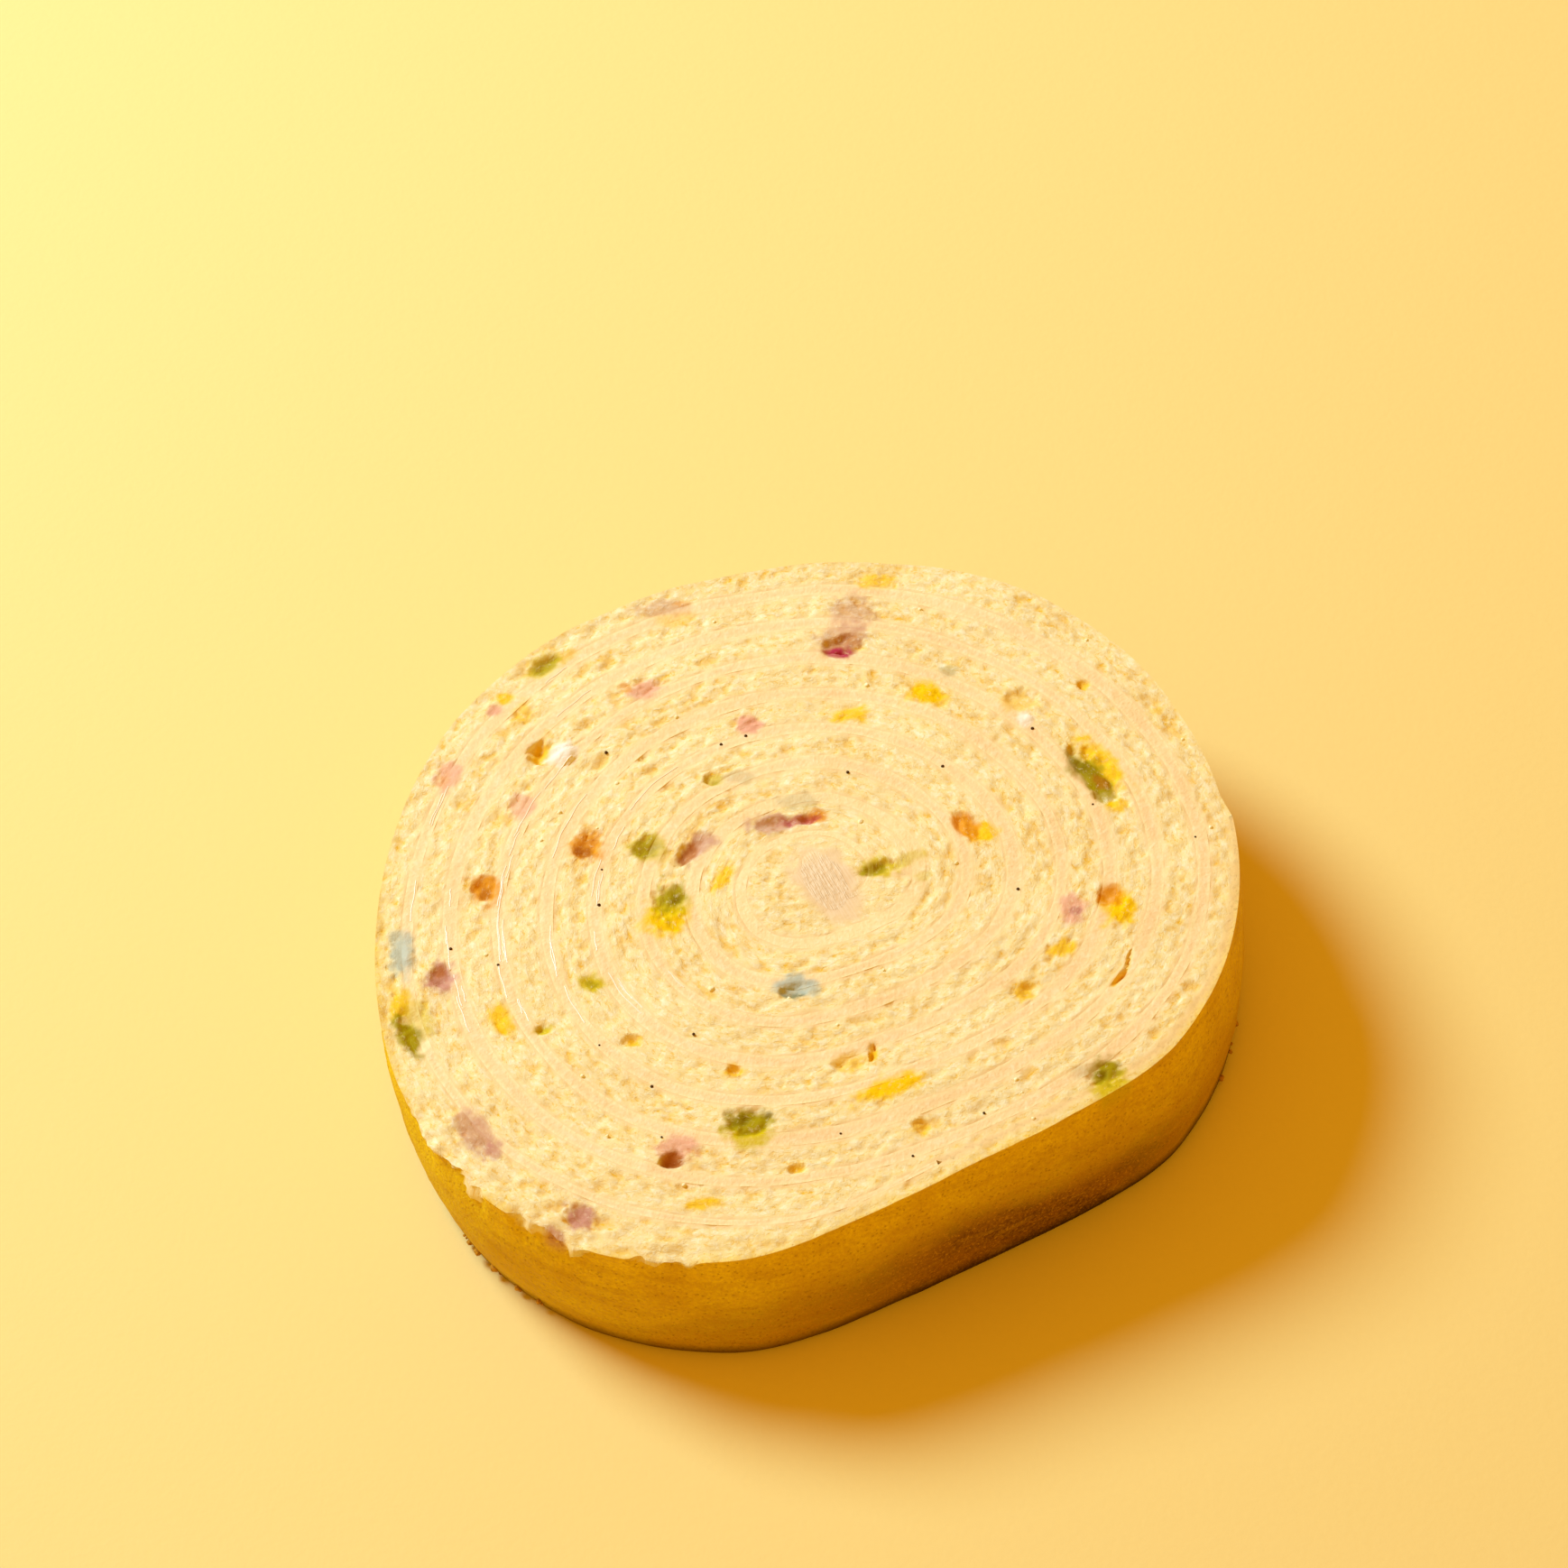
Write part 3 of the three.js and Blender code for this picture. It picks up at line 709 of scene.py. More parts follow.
def lattice(spacing, seed):
    """Jittered points in a triangular pattern that covers the slice."""
    reach = OUTLINE_RADIUS + 8
    rows = np.arange(-reach, reach, spacing * math.sqrt(3) / 2)
    columns = np.arange(-reach, reach, spacing)
    x, y = np.meshgrid(columns, rows)
    x = x + (np.arange(len(rows)) % 2)[:, None] * spacing / 2
    jitter = np.random.default_rng(seed).uniform(-JITTER, JITTER, (2, *x.shape)) * spacing
    return np.column_stack([(x + jitter[0]).ravel(), (y + jitter[1]).ravel()])


def spot_nearness(points, margin):
    """True where a point is in or near a hollow, a lump or a stain."""
    near = np.zeros(len(points), bool)
    spots = [(*hollow[:4], hollow[-1]) for hollow in HOLLOWS] + [stain[:5] for stain in STAINS]
    for x, y, length, width, turned in spots:
        near |= oval_distance(points, x, y, length + margin, width + margin, turned) < 1
    return near


def triangulate(points, edges):
    """Constrained Delaunay triangles of plan points, and the points that they use."""
    coords, _edges, faces, origin, *_rest = delaunay_2d_cdt(
        [Vector(p) for p in points], [tuple(e) for e in edges], [], 0, 1e-6
    )
    return np.array([tuple(c) for c in coords]), np.array([f for f in faces if len(f) == 3]), origin


def ring_edges(start, count):
    index = np.arange(count)
    return np.column_stack([start + index, start + (index + 1) % count])


def border_edges(faces):
    """Directed edges that only one triangle has."""
    directed = np.concatenate([faces[:, [0, 1]], faces[:, [1, 2]], faces[:, [2, 0]]])
    known = {tuple(e) for e in directed.tolist()}
    return np.array([e for e in directed.tolist() if (e[1], e[0]) not in known])


def sponge_regions(sizes, points, faces):
    """The triangles that lie inside the outline and outside the cream."""
    middle = points[faces].mean(axis=1)
    return faces[inside_rim(middle) & (cream_distance(sizes, middle) > 0)]


def counterclockwise(points, faces):
    a, b, c = (points[faces[:, i]] for i in range(3))
    area = (b[:, 0] - a[:, 0]) * (c[:, 1] - a[:, 1]) - (b[:, 1] - a[:, 1]) * (c[:, 0] - a[:, 0])
    return np.where((area > 0)[:, None], faces, faces[:, ::-1])


def roomy(sizes, points, from_rim, from_cream):
    """The points of the sponge that keep the given distances from its borders."""
    radius, angle = to_polar(points)
    keep = (rim_radius(angle) - radius > from_rim) & (cream_distance(sizes, points) > from_cream)
    return points[keep]


def upper_cut(sizes, crumb):
    """Plan points, which of them are on the rim, and triangles of the sponge's upper cut."""
    turns = coil_turns(sizes, RIBBON_STEP)
    half = cream_half_width(sizes, turns)
    outer, inner = (polar(coil_radius(sizes, turns) + side * half, turns * FULL_TURN) for side in (1, -1))
    core = core_ring(round(FULL_TURN * (CORE[2] + CORE[3]) / 4 / CORE_SIDE))
    loops = [rim_ring(), np.concatenate([outer, inner[::-1]]), core]

    coarse, fine = crumb.point_spacing / MM, crumb.fine_spacing / MM
    wide = lattice(coarse, crumb.seed)
    wide = wide[~spot_nearness(wide, SPOT_MARGIN)]
    close = lattice(fine, crumb.seed + 1)
    close = close[spot_nearness(close, SPOT_MARGIN - fine)]
    loose = roomy(sizes, np.concatenate([wide, close]), RIM_ROOM, CREAM_ROOM)

    starts = np.cumsum([0] + [len(loop) for loop in loops])
    edges = np.concatenate([ring_edges(start, len(loop)) for start, loop in zip(starts, loops)])
    coords, faces, origin = triangulate(np.concatenate([*loops, loose]), edges)
    faces = sponge_regions(sizes, coords, faces)
    on_rim = np.array([min(o, default=starts[1]) < starts[1] for o in origin])
    used = np.unique(faces)
    renamed = np.full(len(coords), -1)
    renamed[used] = np.arange(len(used))
    coords, faces = coords[used], renamed[faces]
    return coords, on_rim[used], counterclockwise(coords, faces)


def lower_cut(sizes, plan, edges, spacing, seed):
    """Triangles that close the same region with fewer points; border points come first."""
    border = np.unique(edges).tolist()
    index = {old: new for new, old in enumerate(border)}
    edges = np.array([[index[a], index[b]] for a, b in edges.tolist()])
    loose = roomy(sizes, lattice(spacing, seed), spacing / 2, spacing / 3)
    coords, faces, origin = triangulate(np.concatenate([plan[border], loose]), edges)
    faces = sponge_regions(sizes, coords, faces)
    named = np.array([min(o, default=-1) for o in origin])
    return index, coords, named, counterclockwise(coords, faces)


def build_mesh(name, points_mm, faces):
    mesh = bpy.data.meshes.new(name)
    mesh.vertices.add(len(points_mm))
    mesh.vertices.foreach_set("co", (np.asarray(points_mm) * MM).astype(np.float32).ravel())
    sizes = np.array([len(f) for f in faces])
    loops = np.concatenate([np.asarray(f) for f in faces]).astype(np.int32)
    mesh.loops.add(len(loops))
    mesh.loops.foreach_set("vertex_index", loops)
    mesh.polygons.add(len(sizes))
    mesh.polygons.foreach_set("loop_start", (np.cumsum(sizes) - sizes).astype(np.int32))
    mesh.update(calc_edges=True)
    mesh.validate()
    return mesh


def line_mesh(name, points_mm, edges):
    mesh = bpy.data.meshes.new(name)
    mesh.from_pydata((np.array(points_mm) * MM).tolist(), edges, [])
    return mesh


def chain(start, count):
    """Edges that join a row of points."""
    return [(i, i + 1) for i in range(start, start + count - 1)]


def add_values(mesh, name, values, kind="FLOAT"):
    """Stores one value per point: a float, a vector or a colour."""
    layer = mesh.attributes.new(name, kind, "POINT")
    field = {"FLOAT": "value", "FLOAT_VECTOR": "vector", "FLOAT_COLOR": "color"}[kind]
    layer.data.foreach_set(field, np.asarray(values, dtype=np.float32).ravel())


def point_array(mesh):
    places = np.empty(len(mesh.vertices) * 3, dtype=np.float32)
    mesh.vertices.foreach_get("co", places)
    return places.reshape(-1, 3).astype(float)


def show(data, name):
    piece = bpy.data.objects.new(name, data)
    bpy.context.scene.collection.objects.link(piece)
    return piece


def shade(mesh, sharp_from):
    """Smooth shading, except across edges that are sharper than this many degrees."""
    mesh.shade_smooth()
    mesh.set_sharp_from_angle(angle=math.radians(sharp_from))


def finish_piece(piece, slot, *nodes):
    """Hands a finished piece to the frame."""
    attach(piece, "root")
    if nodes:
        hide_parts(*nodes)


def stain_colours(sweets, plan):
    """Dye on each point: its colour times its strength, and its strength."""
    ragged = 1 + 0.5 * rough_noise(*plan.T, 1.4, 57)
    fuzzy = 0.2 * value_noise(*plan.T, 0.5, 61)
    colour = np.zeros((len(plan), 3))
    strength = np.zeros(len(plan))
    for x, y, length, width, turned, dye, power in STAINS:
        rim = oval_distance(plan, x, y, length, width, turned) * ragged + fuzzy
        share = power * (1 - smooth_step(rim, 0.5, 1.15))
        colour = colour * (1 - share)[:, None] + share[:, None] * np.array(getattr(sweets, dye))
        strength = strength * (1 - share) + share
    return np.column_stack([colour, strength])


def dye_fade(sizes, plan, height):
    """The dye reaches only a little below the upper cut."""
    depth = top_height(sizes, plan[:, 0]) - height
    return (1 - smooth_step(depth, 1.3, 3.0))[:, None]


# ---------------------------------------------------------------- node helpers


class Wire:
    """An output of a node. Arithmetic with it adds the node that works the result out."""

    def __init__(self, net, socket):
        self.net, self.socket = net, socket

    def worked(self, operation, first, second):
        if self.socket.type not in ("VECTOR", "RGBA"):
            return self.net.calc(operation, first, second)
        return self.net.vector("SCALE" if operation == "MULTIPLY" else operation, first, second)

    def __add__(self, other):
        return self.worked("ADD", self, other)

    def __sub__(self, other):
        return self.worked("SUBTRACT", self, other)

    def __rsub__(self, other):
        return self.worked("SUBTRACT", other, self)

    def __mul__(self, other):
        return self.worked("MULTIPLY", self, other)

    def __truediv__(self, other):
        return self.worked("DIVIDE", self, other)

    def clamped(self):
        """Keeps the result that this output gives between 0 and 1."""
        self.socket.node.use_clamp = True
        return self

    def in_units(self, size):
        """This place, measured in units of a size."""
        return self * self.net.calc("DIVIDE", 1.0, size)

    def ramp(self, low, high, to_low=0.0, to_high=1.0, kind="SMOOTHSTEP"):
        ends = {"Value": self, "From Min": low, "From Max": high, "To Min": to_low, "To Max": to_high}
        return self.net.put("ShaderNodeMapRange", ends, interpolation_type=kind)[0]


class Outputs:
    """The outputs of a node, by name or by number."""

    def __init__(self, net, node):
        self.net, self.node = net, node

    def __getitem__(self, key):
        return Wire(self.net, self.node.outputs[key])


class Net:
    """Adds nodes to a tree. In a node group, given holds the group's inputs."""

    def __init__(self, tree, is_group=False):
        self.tree = tree
        if is_group:
            self.given = self.put("NodeGroupInput")
            self.result = tree.nodes.new("NodeGroupOutput")

    def put(self, kind, inputs=None, **settings):
        """Adds a node, with its settings, and its inputs as values or wires."""
        node = self.tree.nodes.new(kind)
        for key, value in settings.items():
            setattr(node, key, value)
        for key, value in (inputs or {}).items():
            self.plug(value, node.inputs[key])
        return Outputs(self, node)

    def plug(self, value, socket):
        if isinstance(value, Wire):
            self.tree.links.new(value.socket, socket)
        else:
            socket.default_value = value

    def give(self, **outputs):
        """Links the group's outputs, and gives the finished group."""
        for name, wire in outputs.items():
            self.plug(wire, self.result.inputs[name])
        return self.tree

    def calc(self, operation, *values):
        return self.put("ShaderNodeMath", dict(enumerate(values)), operation=operation)[0]

    def vector(self, operation, first, second):
        place = "Scale" if operation == "SCALE" else 1
        return self.put("ShaderNodeVectorMath", {0: first, place: second}, operation=operation)[0]

    def split(self, vector):
        return self.put("ShaderNodeSeparateXYZ", {0: vector})

    def joined(self, **parts):
        return self.put("ShaderNodeCombineXYZ", parts)[0]

    def noise(self, place, scale, detail, roughness=0.5):
        inputs = {"Vector": place, "Scale": scale, "Detail": detail, "Roughness": roughness}
        return self.put("ShaderNodeTexNoise", inputs)

    def voronoi(self, place, scale, feature="F1"):
        return self.put("ShaderNodeTexVoronoi", {"Vector": place, "Scale": scale}, feature=feature)

    # Geometry trees.

    def read(self, name, kind="FLOAT"):
        return self.put("GeometryNodeInputNamedAttribute", {"Name": name}, data_type=kind)[0]

    def store(self, mesh, name, value, kind="FLOAT"):
        inputs = {"Geometry": mesh, "Name": name, "Value": value}
        return self.put("GeometryNodeStoreNamedAttribute", inputs, data_type=kind, domain="POINT")[0]

    def moved(self, mesh, **places):
        return self.put("GeometryNodeSetPosition", {"Geometry": mesh, **places})[0]

    def curve(self, mesh):
        return self.put("GeometryNodeMeshToCurve", {0: mesh})[0]

    def swept(self, path, profile):
        inputs = {"Curve": path, "Profile Curve": profile, "Fill Caps": True}
        return self.put("GeometryNodeCurveToMesh", inputs)[0]

    def smooth(self, mesh):
        return self.put("GeometryNodeSetShadeSmooth", {0: mesh, "Shade Smooth": True})[0]

    def finished(self, geometry):
        """Ends a geometry tree: one plain mesh with the given material."""
        realized = self.put("GeometryNodeRealizeInstances", {0: geometry})[0]
        inputs = {"Geometry": realized, "Material": self.given["Material"]}
        return self.give(Geometry=self.put("GeometryNodeSetMaterial", inputs)[0])

    # Shader trees.

    def place(self):
        return self.put("ShaderNodeTexCoord")["Object"]

    def attribute(self, name, output="Fac"):
        return self.put("ShaderNodeAttribute", attribute_name=name)[output]

    def use(self, name, **inputs):
        """Adds a shader group, which is built the first time that it is used."""
        group = bpy.data.node_groups.get(name) or SHADER_GROUPS[name](name)
        named = {key.replace("_", " "): value for key, value in inputs.items()}
        return self.put("ShaderNodeGroup", named, node_tree=group)

    def grain(self, size_mm, low=0.35, high=0.65):
        return self.use("Fine Grain", Size=size_mm * MM, Low=low, High=high)

    def mix(self, share, first, second, blend="MIX"):
        """Mixes two colours, inputs 6 and 7 of the node, each a wire or plain values."""
        first, second = (c if isinstance(c, Wire) else (*c, 1.0) for c in (first, second))
        inputs = {0: share, 6: first, 7: second}
        return self.put("ShaderNodeMix", inputs, data_type="RGBA", blend_type=blend)[2]

    def between(self, share, first, second):
        """Mixes two numbers, inputs 2 and 3 of the node."""
        return self.put("ShaderNodeMix", {0: share, 2: first, 3: second})[0]

    def layered(self, colour, *layers):
        """Lays colours over a first one, each with the share of it that shows."""
        for share, upper in layers:
            colour = self.mix(share, colour, upper)
        return colour


def new_group(name, kind, inputs, outputs):
    """A node group. Each of its sockets is given by its default value or by its kind."""
    tree = bpy.data.node_groups.new(name, kind + "NodeTree")
    for way, sockets in (("INPUT", inputs), ("OUTPUT", outputs)):
        for label, value in sockets.items():
            number = {float: "Float", int: "Int"}.get(type(value))
            socket = tree.interface.new_socket(label, in_out=way, socket_type=f"NodeSocket{number or value}")
            if number:
                socket.default_value = value
    return Net(tree, is_group=True)


def new_geometry_group(name, **inputs):
    """A geometry tree that takes a mesh, its own inputs and a material."""
    named = {key.replace("_", " "): value for key, value in inputs.items()}
    inputs = {"Geometry": "Geometry", **named, "Material": "Material"}
    return new_group(name, "Geometry", inputs, {"Geometry": "Geometry"})


def applied(piece, tree, values):
    """Runs a Geometry Nodes tree on a piece and keeps the result as its plain mesh."""
    modifier = piece.modifiers.new(tree.name, "NODES")
    modifier.node_group = tree
    names = {item.name: item.identifier for item in tree.interface.items_tree if item.in_out == "INPUT"}
    for name, value in values.items():
        modifier[names[name]] = value
    piece.update_tag()
    graph = bpy.context.evaluated_depsgraph_get()
    mesh = bpy.data.meshes.new_from_object(piece.evaluated_get(graph), depsgraph=graph)
    mesh.name = piece.name
    piece.modifiers.remove(modifier)
    old = piece.data
    piece.data = mesh
    bpy.data.meshes.remove(old)
    return piece


# ---------------------------------------------------------------- geometry trees


def crumb_tree():
    """Opens the cells and holes of the crumb in the cut faces of a mesh."""
    sizes = {"Cell_Size": 1.0, "Cell_Depth": 0.15, "Hole_Size": 2.6, "Hole_Depth": 0.24, "Grain_Depth": 0.22}
    net = new_geometry_group("Crumb Relief", **sizes, Seed=0.0)
    given = net.given
    cut = net.read("cut")
    shifted = net.read("wound", "FLOAT_VECTOR") + net.vector("SCALE", SEED_STEP, given["Seed"])
    rough = 1.0 - net.read("soak") * 0.9

    # Open cells of uneven shape, in drifts.
    cells = net.noise(shifted.in_units(given["Cell Size"]), 1.0, 3.0, 0.62)[0]
    openness = net.noise(shifted, 0.24, 2.0)[0].ramp(0.35, 0.65, 0.38, 0.52)
    cell_sink = cells.ramp(openness, openness - 0.13) * rough

    # Larger holes, far apart.
    wobble = net.noise(shifted, 1.1, 2.0)["Color"]
    holes = net.voronoi(shifted.in_units(given["Hole Size"]) + wobble * 0.45, 1.0)
    chosen = net.split(holes["Color"])
    is_hole = chosen[1].ramp(0.8, 0.84)
    hole_reach = chosen[2].ramp(0.0, 1.0, 0.16, 0.36, "LINEAR")
    inside = (1.0 - holes["Distance"] / hole_reach).clamped()
    hole_sink = inside.ramp(0.0, 0.7) * is_hole * rough

    # Soft lumps and fine grain.
    lumps = net.voronoi(shifted + wobble * 0.8, 1.05, "SMOOTH_F1")["Distance"]
    lump_drop = net.calc("POWER", lumps, 2.0) * 2.2
    grain = net.noise(shifted, 1.9, 2.0, 0.6)[0]
    grain_rise = net.calc("MINIMUM", grain - 0.22 - lump_drop, 0.3) * rough

    # The lower cut is only sunk, never raised.
    depth = cell_sink * given["Cell Depth"] + hole_sink * given["Hole Depth"]
    lift = grain_rise * given["Grain Depth"] - depth
    is_lower = net.calc("LESS_THAN", cut, 0.0)
    lift = net.between(is_lower, lift, net.calc("MINIMUM", lift, 0.0))
    moved = net.moved(given["Geometry"], Offset=net.joined(Z=lift * cut * MM))
    # How far the cut is sunk, which the crumb's finish turns into painted shade.
    hollow = (net.calc("ABSOLUTE", cut) * (cell_sink + hole_sink)).clamped()
    return net.finished(net.store(moved, "hollow", hollow))


def ribbon_tree():
    """Sweeps a section along the winding, upright from the lower cut to the upper."""
    places = {"Foot_Shift": "Vector", "Hub": "Vector"}
    sizes = {"Thickness": 16.6 * MM, "Rise": 0.05, "Foot_Scale": 0.985, "Ridge_Height": 0.08 * MM}
    net = new_geometry_group("Cream Ribbon", Section="Object", **sizes, **places)
    given = net.given
    spined = net.store(given["Geometry"], "spine", net.put("GeometryNodeInputPosition")[0], "FLOAT_VECTOR")
    section = net.put("GeometryNodeObjectInfo", {"Object": given["Section"]})["Geometry"]
    swept = net.swept(net.curve(spined), net.curve(section))
    across = net.read("across") * net.read("half")
    flat = net.read("spine", "FLOAT_VECTOR") + net.read("radial", "FLOAT_VECTOR") * across
    up = net.read("up")
    below = 1.0 - up
    shrink = (1.0 - given["Foot Scale"]) * below
    parts = net.split(flat * (1.0 - shrink) + given["Foot Shift"] * below + given["Hub"])
    top = given["Thickness"] + given["Rise"] * net.split(flat)[0]

    # Low ridges run along the cream where the knife drew it.
    ridge_place = net.joined(X=net.read("arc") * 0.25, Y=across * (5.5 / MM))
    rise = (net.noise(ridge_place, 0.8, 2.0)[0] - 0.5) * given["Ridge Height"]
    height = up * top + rise * net.calc("GREATER_THAN", up, 0.99)
    return net.finished(net.moved(swept, Position=net.joined(X=parts[0], Y=parts[1], Z=height)))


def grain_tree():
    """Puts a small uneven grain on every point, each turned and sized at random."""
    sizes = {"Grain_Size": 0.3 * MM, "Least_Scale": 0.6, "Greatest_Scale": 1.3, "Unevenness": 0.3}
    net = new_geometry_group("Scattered Grains", **sizes, Seed=0)
    given = net.given
    ball = net.put("GeometryNodeMeshIcoSphere", {"Radius": given["Grain Size"] * 0.5, "Subdivisions": 2})[0]
    noise = net.put("ShaderNodeTexNoise", {"Scale": 1.3 / (0.3 * MM), "Detail": 1.0})["Color"]
    push = (noise - MIDDLE_GREY) * (given["Grain Size"] * given["Unevenness"])
    grain = net.smooth(net.moved(ball, Offset=push))
    turns = {1: (FULL_TURN, FULL_TURN, FULL_TURN), "Seed": given["Seed"]}
    turn = net.put("FunctionNodeRandomValue", turns, data_type="FLOAT_VECTOR")[0]
    scales = {2: given["Least Scale"], 3: given["Greatest Scale"], "Seed": given["Seed"]}
    scale = net.put("FunctionNodeRandomValue", scales, data_type="FLOAT")[1]
    spread = {"Points": given["Geometry"], "Instance": grain, "Rotation": turn, "Scale": scale}
    return net.finished(net.put("GeometryNodeInstanceOnPoints", spread)[0])


def streak_tree():
    """Lays a thin rounded strand along each open line of edges."""
    net = new_geometry_group("Cream Streaks", Width=0.17 * MM, Sides=6)
    given = net.given
    tapered = {"Curve": net.curve(given["Geometry"]), "Radius": net.read("taper")}
    path = net.put("GeometryNodeSetCurveRadius", tapered)[0]
    ring = {"Resolution": given["Sides"], "Radius": given["Width"] * 0.5}
    return net.finished(net.smooth(net.swept(path, net.put("GeometryNodeCurvePrimitiveCircle", ring)[0])))


# ---------------------------------------------------------------- shader groups


def fine_grain_group(name):
    """Fine noise for colour and height, at a size given in metres."""
    outputs = {"Mask": "Float", "Height": "Float"}
    net = new_group(name, "Shader", {"Size": 0.4 * MM, "Low": 0.35, "High": 0.65}, outputs)
    height = net.noise(net.place().in_units(net.given["Size"]), 1.0, 3.0, 0.6)[0]
    return net.give(Mask=height.ramp(net.given["Low"], net.given["High"], kind="LINEAR"), Height=height)


def crumb_flake_group(name):
    """Torn crumb, drawn out along the winding: bright flakes and gaps, used as painted highlight and painted
    shade, and their height.
    """
    net = new_group(name, "Shader", {"Size": 0.48}, {"Bright": "Float", "Gap": "Float", "Height": "Float"})
    scaled = net.attribute("wound", "Vector").in_units(net.given["Size"])
    bend = net.noise(scaled, 0.9, 2.0)["Color"] - MIDDLE_GREY
    height = net.noise(scaled + bend * 1.6, 1.0, 4.0, 0.74)[0]
    return net.give(Bright=height.ramp(0.5, 0.62), Gap=height.ramp(0.45, 0.35), Height=height)


def knife_line_group(name):
    """Fine parallel lines that the knife drew over the cream of the hub."""
    net = new_group(name, "Shader", {"Spacing": 0.14 * MM}, {"Mask": "Float"})
    drawn = {"Vector": net.place(), "Rotation": (0.0, 0.0, math.radians(26)), "Scale": (1.0, 14.0, 1.0)}
    turned = net.put("ShaderNodeMapping", drawn, vector_type="TEXTURE")[0]
    lines = net.noise(turned.in_units(net.given["Spacing"]), 1.0, 1.0)[0]
    return net.give(Mask=lines.ramp(0.4, 0.62) * net.attribute("core"))


def sweet_stain_group(name):
    """Lays the dye of the melted sweets over a base colour, mottled by the crumb."""
    inputs = {"Base": "Color", "Mottle Size": 0.4 * MM, "Mottle": 0.4}
    net = new_group(name, "Shader", inputs, {"Color": "Color", "Strength": "Float"})
    noise = net.noise(net.place().in_units(net.given["Mottle Size"]), 1.0, 2.0)[0]
    kept = 1.0 - net.given["Mottle"] * (1.0 - noise.ramp(0.3, 0.6))
    strength = net.attribute("dye", "Alpha") * kept
    dimmed = net.mix(strength, net.given["Base"], (0.0, 0.0, 0.0))
    dyed = net.attribute("dye", "Color") * kept
    return net.give(Color=net.mix(1.0, dimmed, dyed, blend="ADD"), Strength=strength)


SHADER_GROUPS = {
    "Fine Grain": fine_grain_group,
    "Crumb Flakes": crumb_flake_group,
    "Knife Lines": knife_line_group,
    "Sweet Stain": sweet_stain_group,
}


# ---------------------------------------------------------------- finishes


def new_material(name):
    material = bpy.data.materials.new(name)
    material.use_nodes = True
    return material, Net(material.node_tree)


def surfaced(material, net, colour, roughness, height, distance, specular):
    """Gives a material its colour, roughness and relief."""
    shader = material.node_tree.nodes["Principled BSDF"]
    bump = net.put("ShaderNodeBump", {"Height": height, "Distance": distance, "Strength": 1.0})[0]
    inputs = {"Base Color": colour, "Roughness": roughness, "Normal": bump, "Specular IOR Level": specular}
    for name, value in inputs.items():
        net.plug(value, shader.inputs[name])
    return material


def crumb_colour(net, crumb, cream, flakes):
    """The cut: pale crumb with painted highlights on its flakes and painted shade in its gaps and cells,
    soaked with cream beside the cream.
    """
    soak = net.attribute("soak")
    open_crumb = 1.0 - soak
    # painted shade where the cut is sunk and between the flakes
    deep = (net.attribute("hollow") * 0.6 + flakes["Gap"] * (open_crumb * 0.6)).clamped()
    return net.layered(
        crumb.pale,
        # painted highlight on the crests of the flakes
        (flakes["Bright"] * (open_crumb * 0.75 + 0.2), crumb.light),
        (net.grain(1.1, 0.48, 0.66)["Mask"] * (open_crumb * 0.36), srgb(250, 214, 100)),
        (deep, crumb.deep),
        (net.grain(4.5)["Mask"] * 0.2, cream.cream),
        (soak * 0.85, cream.cream),
        (net.attribute("core"), cream.milk),
        (net.use("Knife Lines", Spacing=KNIFE_SPACING)["Mask"] * 0.28, cream.streak),
    )


def skin_colour(net, crumb, grain, pore):
    """The wall: brightest at its upper edge as a painted highlight, golden below it, dull and mealy near the
    foot and darkened there by painted shade, with a painted dark contact line at the foot.
    """
    dull, glow = net.attribute("dull"), net.attribute("glow")
    drawn = {"Vector": net.attribute("wound", "Vector"), "Scale": (0.3, 0.0, 6.0)}
    creases = net.noise(net.put("ShaderNodeMapping", drawn)[0], 1.0, 3.0)[0]
    return net.layered(
        crumb.skin,
        # mealy skin, deepened by painted shade low on the wall and on the side away from the key light
        (dull, crumb.foot_skin_and_shade),
        # painted highlight: a bright golden band along the wall's upper edge and the rim of the cut
        ((glow * 0.75).clamped(), srgb(252, 212, 24)),
        (creases.ramp(0.5, 0.66) * 0.22, srgb(168, 110, 10)),
        (creases.ramp(0.46, 0.32) * 0.22, srgb(244, 200, 40)),
        (net.grain(6.0, 0.42, 0.62)["Mask"] * 0.3, srgb(200, 142, 6)),
        (pore * 0.3, srgb(160, 98, 10)),
        (grain["Mask"] * 0.42, srgb(190, 138, 4)),
        (net.grain(0.28, 0.54, 0.7)["Mask"] * (dull * 0.3 + 0.22), srgb(236, 184, 62)),
        # painted shade: a dark contact line along the foot of the wall
        ((glow * -0.9).clamped(), srgb(44, 20, 6)),
    )


def sponge_finish(crumb, cream):
    """Open crumb on the cuts and golden skin round the rim."""
    material, net = new_material("sponge_crumb_and_skin")
    flakes, grain = net.use("Crumb Flakes", Size=0.48), net.grain(0.4)
    pore = net.voronoi(net.place(), 1 / (0.55 * MM))["Distance"].ramp(0.3, 0.05)
    skin = net.attribute("skin")
    base = net.mix(skin, crumb_colour(net, crumb, cream, flakes), skin_colour(net, crumb, grain, pore))
    stain = net.use("Sweet Stain", Base=base, Mottle_Size=0.4 * MM, Mottle=flakes["Bright"] * 0.4)
    crumb_height = flakes["Height"] * (1.0 - net.attribute("soak") + 0.15)
    skin_height = grain["Height"] - pore * 0.6
    relief = net.between(skin, crumb_height, skin_height)
    roughness = grain["Mask"].ramp(0.0, 1.0, 0.8, 0.6)
    return surfaced(material, net, stain["Color"], roughness, relief, distance=0.13 * MM, specular=0.08)


